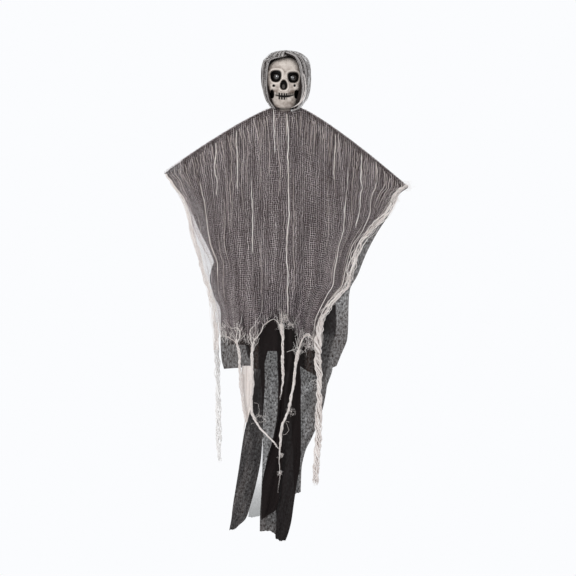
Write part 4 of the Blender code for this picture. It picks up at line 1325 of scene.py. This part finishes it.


# %% [markdown]
# ## The face
# A hollow is pushed into the ring points, and the rim round it stands out with a painted
# highlight, strongest above the sockets; the cheekbones and the middle of the forehead get painted
# highlights too. The brown is partly a wash and partly painted shade: it gathers below the
# cheekbones, round the mouth and at the sides, and darkens towards the chin. The teeth are two
# raised rows with painted gaps between them, and the line of the mouth sags in its middle.

# %% Face hollows
Hollow = namedtuple("Hollow", "x drop half_width half_height depth power taper")
SOCKETS = [
    Hollow(-0.0184, 0.0412, 0.0106, 0.0114, 0.0105, 2.7, -0.12),
    Hollow(0.0133, 0.0433, 0.0108, 0.0106, 0.0105, 2.7, -0.1),
]
NOSE = Hollow(-0.0041, 0.0572, 0.0071, 0.0096, 0.008, 2.2, 0.14)
JAW_HOLLOWS = [
    Hollow(-0.0252, 0.0735, 0.0042, 0.0084, 0.005, 2.2, 0.05),
    Hollow(0.0197, 0.074, 0.0053, 0.0088, 0.0055, 2.2, 0.05),
]
CHEEK_DOTS = [
    Hollow(-0.0224, 0.0585, 0.0029, 0.0027, 0.0016, 2.0, 0.0),
    Hollow(0.0159, 0.0583, 0.0023, 0.0027, 0.0016, 2.0, 0.0),
]
EYE_RADIUS = 0.0085
EYE_STANDS_OUT = 0.0042
# Gaps between the teeth, as (place, strength of the paint).
UPPER_GAPS = [(-0.0166, 0.3), (-0.0121, 1.0), (-0.0075, 1.0), (-0.003, 1.0), (0.001, 0.8),
              (0.0044, 0.45), (0.0079, 0.4), (0.0113, 0.35)]
LOWER_GAPS = [(-0.0121, 0.9), (-0.0075, 1.0), (-0.003, 0.9), (0.001, 0.3)]
TOOTH_LINE = 0.0016
LIP_LINE = 0.0021
MOUTH_DROP = 0.0753
MOUTH_SAG = 0.003
MOUTH_MIDDLE = -0.0026
MOUTH_HALF_WIDTH = 0.0172


def away_from(hollow, x, z):
    """How far a place lies from a hollow's middle, where 1 is its rim."""
    up = (z + hollow.drop) / hollow.half_height
    across = (x - hollow.x) / (hollow.half_width * np.maximum(0.3, 1 - hollow.taper * up))
    return (np.abs(across) ** hollow.power + np.abs(up) ** hollow.power) ** (1 / hollow.power), up


def band(value, middle, width, power=2):
    """1 at the middle, falling to 0 over about its width on either side."""
    return np.exp(-(np.abs((value - middle) / width) ** power))


def face_details(x, z):
    """How much the face is pushed in; its paint, painted highlight, wash, painted shade and gloss.
    """
    push, paint, gloss = np.zeros(x.shape), np.zeros(x.shape), np.zeros(x.shape)
    light, wash = np.zeros(x.shape), np.zeros(x.shape)
    for hollow in SOCKETS + [NOSE] + JAW_HOLLOWS + CHEEK_DOTS:
        away, up = away_from(hollow, x, z)
        inside = 1 - smooth_step(0.8, 1.05, away)
        push += hollow.depth * inside
        paint = np.maximum(paint, 1 - smooth_step(0.84, 1.0, away))
        if hollow in SOCKETS:
            above = smooth_step(0.1, 0.8, up)
            push -= 0.0017 * band(away, 1.24, 0.17) * (0.35 + 0.65 * above)
            # The rim of the socket gets a painted highlight, strongest above it.
            light += 1.1 * band(away, 1.13, 0.11) * (0.25 + 0.75 * above)
            wash += 0.3 * band(away, 1.46, 0.1) * above * (0.6 + 0.4 * noise(x / 0.005, 4.0))
            out = np.hypot(x - hollow.x - 0.0004, z + hollow.drop + 0.0008)
            ball = np.sqrt(np.maximum(0.0, EYE_RADIUS**2 - out**2))
            push -= np.maximum(0.0, ball - (EYE_RADIUS - EYE_STANDS_OUT))
            gloss = np.maximum(gloss, smooth_step(0.0, 0.0006, ball - EYE_RADIUS + EYE_STANDS_OUT))
        elif hollow is NOSE:
            push -= 0.0014 * band(away, 1.22, 0.16)
            # The rim of the nose gets a painted highlight.
            light += 0.7 * band(away, 1.17, 0.11)
            out = np.hypot((x - hollow.x + 0.0004) / 0.003, (z + hollow.drop + 0.0026) / 0.0045)
            paint -= 0.13 * (1 - smooth_step(0.6, 1.1, out))
    push -= 0.003 * band(x, -0.024, 0.0055) * band(z, -0.0625, 0.0045)
    push -= 0.003 * band(x, 0.0185, 0.0055) * band(z, -0.063, 0.0045)
    # Painted shadow under each cheekbone, and painted highlights on the cheekbones and the middle
    # of the forehead.
    wash += 0.4 * band(np.abs(x + 0.0028), 0.019, 0.005) * band(z, -0.069, 0.0022)
    light += 0.7 * band(x, -0.0255, 0.005) * band(z, -0.061, 0.0055)
    light += 0.7 * band(x, 0.0195, 0.005) * band(z, -0.0625, 0.005)
    light += 0.45 * band(x, -0.002, 0.02) * band(z, -0.019, 0.009)
    return push, paint, light, wash, gloss


def mouth_details(x, z):
    """Paint in the line between the lips and between the teeth, and how far the teeth stand out."""
    side = (x - MOUTH_MIDDLE) / MOUTH_HALF_WIDTH
    line_z = -MOUTH_DROP - MOUTH_SAG * (1 - side**2)
    above = z - line_z
    within = 1 - smooth_step(0.85, 1.1, np.abs(side))
    middle = 1 - smooth_step(0.35, 0.75, np.abs(side))
    paint = (0.72 + 0.26 * middle) * band(above, 0.0, LIP_LINE * (0.7 + 0.3 * middle), 4) * within
    upper = smooth_step(-0.0004, 0.0006, above) * (1 - smooth_step(0.005, 0.0068, above))
    lower = smooth_step(0.0004, 0.0014, -above) * (1 - smooth_step(0.005, 0.0068, -above))
    for gaps, rows in ((UPPER_GAPS, upper), (LOWER_GAPS, lower)):
        for place, strength in gaps:
            paint = np.maximum(paint, strength * band(x, place, TOOTH_LINE, 4) * rows)
    teeth = (upper + lower) * within
    return 1 - (1 - np.clip(paint, 0, 1)) ** 2.2, teeth


# %% Skull mesh
SKULL_COLUMNS = 260
SKULL_ROWS = 235
FACE_CLOSENESS = 0.58
EYE_RING_RADIUS = 0.0044
EYE_BAR_RADIUS = 0.0012

even = np.linspace(-math.pi, math.pi, SKULL_COLUMNS)[None, :]
angle = even - FACE_CLOSENESS * np.sin(even)
place = np.linspace(0.02, len(SKULL_RINGS) - 1, SKULL_ROWS)[:, None]
front_height, back_height, width, front, back = along(SKULL_RINGS, place)
height = front_height + (back_height - front_height) * (1 - np.cos(angle)) / 2
x, y = round_head(angle, width * SKULL_WIDTH / 2, front * FACE_DEPTH, back * BACK_DEPTH)
x = x + SKULL_SIDE_SHIFT
z = CROWN_Z - height * SKULL_HEIGHT
facing = smooth_step(0.0, 0.35, np.cos(angle))
push, paint, light, wash, gloss = face_details(x, z)
mouth_paint, teeth = mouth_details(x, z)
y = y + (push - 0.0009 * teeth) * facing
paint = np.clip(np.maximum(paint, mouth_paint), 0, 1) * facing
side = np.abs(x - SKULL_SIDE_SHIFT) / (SKULL_WIDTH / 2)
# The brown is partly the wash, which is uneven, and partly painted shade at the sides and under the
# cheekbones; it is also darker towards the chin and round the mouth, and the painted highlights
# lighten it.
wash = 0.34 + wash + 0.55 * smooth_step(0.55, 0.95, side) - 0.62 * light
wash += 0.26 * band(z, -0.07, 0.004) + 0.22 * smooth_step(-0.078, -0.096, z) - 0.1 * teeth
wash += 0.3 * band(z, -MOUTH_DROP, 0.005) * band(np.abs(x - MOUTH_MIDDLE), 0.0125, 0.005)
wash += 0.22 * band(z, -0.066, 0.006) * band(np.abs(x + 0.003), 0.012, 0.004)
wash += 0.3 * noise(x / 0.006, z / 0.006) + 0.14 * noise(x / 0.0022, z / 0.0022)
head_grids = [together(x, y, z)]
head_tones = [(paint, np.clip(wash, 0, 1), gloss * facing)]

neck_radii = [NECK_RADIUS, NECK_RADIUS, NECK_RADIUS - SKULL_WALL, NECK_RADIUS - SKULL_WALL]
neck_heights = [z.min() + 0.003, NECK_BOTTOM_Z, NECK_BOTTOM_Z, z.min() + 0.004]
neck_rows = []
for radius, level in zip(neck_radii, neck_heights):
    neck_rows.append(together(
        SKULL_SIDE_SHIFT + radius * np.sin(even[0]), -radius * np.cos(even[0]), level))
head_grids.append(np.stack(neck_rows))

turn = np.linspace(0, 2 * math.pi, 49)[:, None]
bar = np.linspace(0, 2 * math.pi, 17)[None, :]
ring_reach = EYE_RING_RADIUS + EYE_BAR_RADIUS * np.cos(bar)
head_grids.append(together(
    ring_reach * np.cos(turn), EYE_BAR_RADIUS * np.sin(bar), ring_reach * np.sin(turn)))
for grid in head_grids[1:]:
    blank = np.zeros(grid.shape[:2])
    head_tones.append((blank, blank + 0.4, blank))

# %% [markdown]
# ## Painted plastic
# The skull is moulded vinyl, sprayed bone white and wiped with a thin brown wash that stays in the
# low parts. The same brown also paints shade at the sides and under the cheekbones, and painted
# highlights keep the brow and cheekbones pale. The sockets, the nose and the gaps between the
# teeth are black, and the eyes are glossy black, so the lamps glint in them. The paints are point
# values that the mesh carries.

# %% Skull material
BONE_WHITE = "#E3D9D0"
WASH_AND_SHADE_BROWN = "#75655B"
PAINT_BLACK = "#0B0908"

bone, tree, shader = new_material("sprayed_moulded_vinyl", {"IOR": 1.53})
patchy = spots(tree, add_node(tree, "TexCoord").outputs["Object"], 4.0 * MM, 4.0, 0.65)
painted, glossy = attribute(tree, "paint"), attribute(tree, "gloss")
uneven = remap(tree, patchy, (0.3, 0.7), (-0.16, 0.16))
# The wash attribute carries the brown wash and the painted shade, with the painted highlights taken
# out of it.
wash_and_shade_amount = maths(tree, "ADD", attribute(tree, "wash"), uneven, clamp=True)
tone = mix(tree, painted, mix(tree, wash_and_shade_amount, BONE_WHITE, WASH_AND_SHADE_BROWN), PAINT_BLACK)
dullness = maths(tree, "SUBTRACT", painted, glossy, clamp=True)
shine = remap(tree, dullness, (0.0, 1.0), (0.4, 0.06))
fill(tree, shader, {
    "Base Color": tone,
    "Roughness": remap(tree, glossy, (0.0, 1.0), (0.5, 0.05)),
    "Specular IOR Level": maths(tree, "MULTIPLY_ADD", glossy, 0.6, shine),
    "Coat Weight": glossy,
    "Normal": bump(tree, patchy, 0.25, 0.3 * MM),
})

# %% Skull object
starts = np.cumsum([0] + [grid[..., 0].size for grid in head_grids])
faces = np.concatenate([grid_faces(*g.shape[:2], first) for g, first in zip(head_grids, starts)])
paint, wash, gloss = (np.concatenate([t[k].ravel() for t in head_tones]) for k in range(3))
skull = link_mesh(
    "painted_skull", np.concatenate([g.reshape(-1, 3) for g in head_grids]),
    faces, bone, "bone_plastic", paint=paint, wash=wash, gloss=gloss,
)
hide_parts("skull")
print("skull:", 2 * len(faces), "triangles")

# %% [markdown]
# ## The hood
# A black lining lies close to the skull, and grey gauze is wrapped over it. Both are rings like
# the skull's, open at the face between two half angles that change with height. The gauze has
# upright folds, and it reaches a little lower in front and behind, over the shoulders.

# %% Hood shapes
# Each ring: how far down it lies, its width, and its depth in front and behind, as shares.
# Left and right are the half angles of the opening, in degrees, at shares of the height.
HoodShape = namedtuple("HoodShape", "rings left right stand_off top bottom shift")
LINING = HoodShape(
    [
        (0.0, 0.0, 0.0, 0.0), (0.015, 0.28, 0.26, 0.28), (0.06, 0.56, 0.52, 0.55),
        (0.12, 0.74, 0.72, 0.73), (0.19, 0.88, 0.86, 0.87), (0.27, 0.96, 0.95, 0.96),
        (0.36, 1.0, 1.0, 1.0), (0.45, 1.01, 1.01, 1.01), (0.54, 1.0, 0.99, 1.0),
        (0.63, 0.97, 1.0, 0.98), (0.72, 0.91, 1.02, 0.94), (0.81, 0.83, 1.04, 0.86),
        (0.9, 0.75, 1.04, 0.76), (1.0, 0.63, 1.02, 0.66),
    ],
    [(0.12, 0), (0.19, 48), (0.27, 58), (0.45, 60), (0.81, 62), (1.0, 52)],
    [(0.06, 0), (0.12, 28), (0.19, 40), (0.36, 46), (0.81, 49), (1.0, 48)],
    0.001, 0.0066, -0.093, 0.0,
)
GAUZE = HoodShape(
    [
        (0.0, 0.0, 0.0, 0.0), (0.012, 0.32, 0.3, 0.32), (0.05, 0.7, 0.62, 0.68),
        (0.115, 0.95, 0.88, 0.92), (0.2, 1.12, 1.05, 1.08), (0.29, 1.19, 1.12, 1.15),
        (0.38, 1.22, 1.15, 1.18), (0.48, 1.22, 1.14, 1.18), (0.58, 1.21, 1.13, 1.16),
        (0.67, 1.17, 1.14, 1.12), (0.76, 1.1, 1.15, 1.06), (0.85, 1.0, 1.16, 0.97),
        (0.93, 0.86, 1.14, 0.86), (1.0, 0.7, 1.1, 0.76),
    ],
    [(0.115, 0), (0.2, 44), (0.29, 48), (0.48, 50), (0.85, 56), (1.0, 50)],
    [(0.05, 0), (0.115, 24), (0.2, 31), (0.29, 34), (0.48, 38), (0.85, 44), (1.0, 48)],
    0.001, 0.008, -0.0951, 0.002,
)
HOOD_FOLD_COUNT = 9
HOOD_FOLD_DEPTH = 0.0009
HOOD_DROOP = 0.006
DEEPEST_CREASE = 0.001
HOOD_STRIPES_AT = 0.95
HOOD_RADIUS = 0.04
HOOD_LENGTH = 0.135
LINING_PUFF = 0.006


def hood_place(shape, share, around, folds, droop):
    """Points of a hood; around runs from 0 at the right rim, past the back, to 1 at the left."""
    width, front, back = (
        smooth_curve([(ring[0], ring[k]) for ring in shape.rings], share) for k in (1, 2, 3)
    )
    left = np.radians(smooth_curve(shape.left, share))
    right = np.radians(smooth_curve(shape.right, share))
    angle = right + (2 * math.pi - left - right) * around
    low = np.minimum(1.0, 4 * share)
    ripple = HOOD_FOLD_DEPTH * np.sin(HOOD_FOLD_COUNT * angle)
    crease = 0.0013 * noise(6 * angle + 2, 2.2 * share) + 0.0008 * noise(15 * angle, 4 * share + 3)
    crease = np.maximum(ripple + crease, -DEEPEST_CREASE)
    grow = np.minimum(1.0, 30 * share) * shape.stand_off + folds * crease * low
    x, y = round_head(
        angle, width * SKULL_WIDTH / 2 + grow, front * FACE_DEPTH + grow, back * BACK_DEPTH + grow)
    z = shape.top + (shape.bottom - shape.top) * share
    z = z - droop * share**3 * np.abs(np.cos(angle)) ** 0.35
    return together(x + SKULL_SIDE_SHIFT + shape.shift, y, z), angle


def hood_patch(shape, columns, rows, folds, droop, bunching, puff=0.0):
    around = np.linspace(0, 1, columns)[None, :]
    share = (np.linspace(0.0, 1, rows) ** 1.3)[:, None]
    points, angle = hood_place(shape, share, around, folds, droop)
    from_rim = smooth_step(0.0, 0.05, np.minimum(around, 1 - around))
    behind = 1 - 0.35 * np.maximum(0.0, -np.cos(angle))
    swell = puff * from_rim * behind * np.sin(math.pi * share) ** 0.35
    points += swell[..., None] * together(np.sin(angle), -np.cos(angle), 0.0)
    uv = together(HOOD_RADIUS * angle, HOOD_LENGTH * share)
    crease = 1 + 0.3 * folds * noise(15 * angle, 4 * share + 3)
    crown = 1.8 * folds * (1 - smooth_step(0.04, 0.17, share))
    striped = band(angle, HOOD_STRIPES_AT, 0.5) * (0.8 + noise(11 * angle, 2 * share))
    bunched = bunching * np.maximum(0.35, crease + crown - 0.62 * folds * striped)
    return Patch(points, uv, bunched)


lining_voile = woven_voile("woven_voile_lining", 0.97, 0.5, "#151110", "#4A413E")
lining = join_patches(
    "lining_cloth", [hood_patch(LINING, 130, 100, 0.0, HOOD_DROOP, 5.0, LINING_PUFF)],
    lining_voile, "black_voile",
)
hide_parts("hood_lining")

hood_gauze = loose_gauze("loose_woven_hood_gauze", 0.165, 0.115, 1.2, "#D8D4D2", "#8E8884")
hood_cotton = spun_cotton("spun_cotton_hood_thread", "#868281", "#CFCBC9")
hood_cloth = hood_patch(GAUZE, 300, 170, 1.0, HOOD_DROOP, 1.0)
hood = join_patches("hood_cloth", [hood_cloth], hood_gauze, "grey_gauze",
                    pull=np.ones(hood_cloth.points[..., 0].size))
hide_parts("gauze_hood")

# %% Rolled rim and folds of the hood
RIM_POINTS = 90
HOOD_FOLD_THREADS = 34


def hood_path(start, end, around, lift, seed, wander):
    """A path down the gauze hood, a little outside it."""
    share = np.linspace(start, end, RIM_POINTS)
    where = around + wander * noise(share * 5 + seed, seed * 1.3)
    path, angle = hood_place(GAUZE, share, np.clip(where, 0, 1), 1.0, HOOD_DROOP)
    return path + lift * together(np.sin(angle), -np.cos(angle), 0.0)


rim_yarns = []
for around, start, yarns, spread in ((0.0, 0.05, 7, 0.0024), (1.0, 0.115, 4, 0.0012)):
    for k in range(yarns):
        path = hood_path(start, 1.0, around, 0.001, 60 + k, 0.0)
        phase = 2 * math.pi * k / yarns + np.linspace(0, 7, RIM_POINTS)
        swell = spread * (0.6 + 0.4 * noise(np.linspace(0, 5, RIM_POINTS) + k, 70.0 + around))
        path[:, 0] += swell * np.cos(phase) + (0.5 * spread if around == 0 else 0)
        path[:, 1] += swell * np.sin(phase) - 0.0008
        if around == 0:
            under_chin = np.linspace(0, 1, 16)[1:, None] * [[-0.0105, -0.001, -0.0035]]
            path = np.concatenate([path, path[-1] + under_chin])
        rim_yarns.append((path, (0.5 if around == 0 else 0.34) * MM))
rng = np.random.default_rng(33)
for k in range(HOOD_FOLD_THREADS):
    around = rng.uniform(0.005, 0.2) if k % 3 else rng.uniform(0.84, 0.99)
    start = rng.uniform(0.04, 0.3)
    path = hood_path(start, rng.uniform(0.7, 0.99), around, 0.0005, 90 + k, 0.012)
    rim_yarns.append((path, rng.uniform(0.28, 0.5) * MM))
rim = link_yarns("hood_rim_threads", rim_yarns, hood_cotton)

# %% Bright edge of the hood
# One bright edge runs from the brow down the right side and under the chin, as (x, y, drop).
BRIGHT_EDGE = [
    (0.0185, -0.03, 0.003), (0.0256, -0.035, 0.0137), (0.0302, -0.0375, 0.0283),
    (0.0338, -0.038, 0.0466), (0.0347, -0.0385, 0.0649), (0.0302, -0.04, 0.081),
    (0.0192, -0.042, 0.0947), (0.0092, -0.043, 0.1),
]
bright_yarns = []
for k in range(5):
    first = (0.0, 0.0, 2.5, 3.6, 4.4)[k]
    place = np.linspace(first, len(BRIGHT_EDGE) - 1 - 0.25 * k, RIM_POINTS)
    x, y, drop = along(BRIGHT_EDGE, place)
    beside = 0.0011 * (k - 1.5) + 0.0012 * noise(place * 0.9 + 3 * k, 5.0 * k)
    x = x + beside * np.minimum(1.0, (len(BRIGHT_EDGE) - 1 - place) / 2)
    path = together(x, y - 0.0008 * np.cos(3 * place + k), -drop)
    thin = 1 - 0.7 * smooth_step(len(BRIGHT_EDGE) - 2, len(BRIGHT_EDGE) - 1, place)
    bright_yarns.append((path, (0.36 if k < 2 else 0.5) * MM * thin))
bright = link_yarns("hood_bright_threads", bright_yarns, strand_cotton)
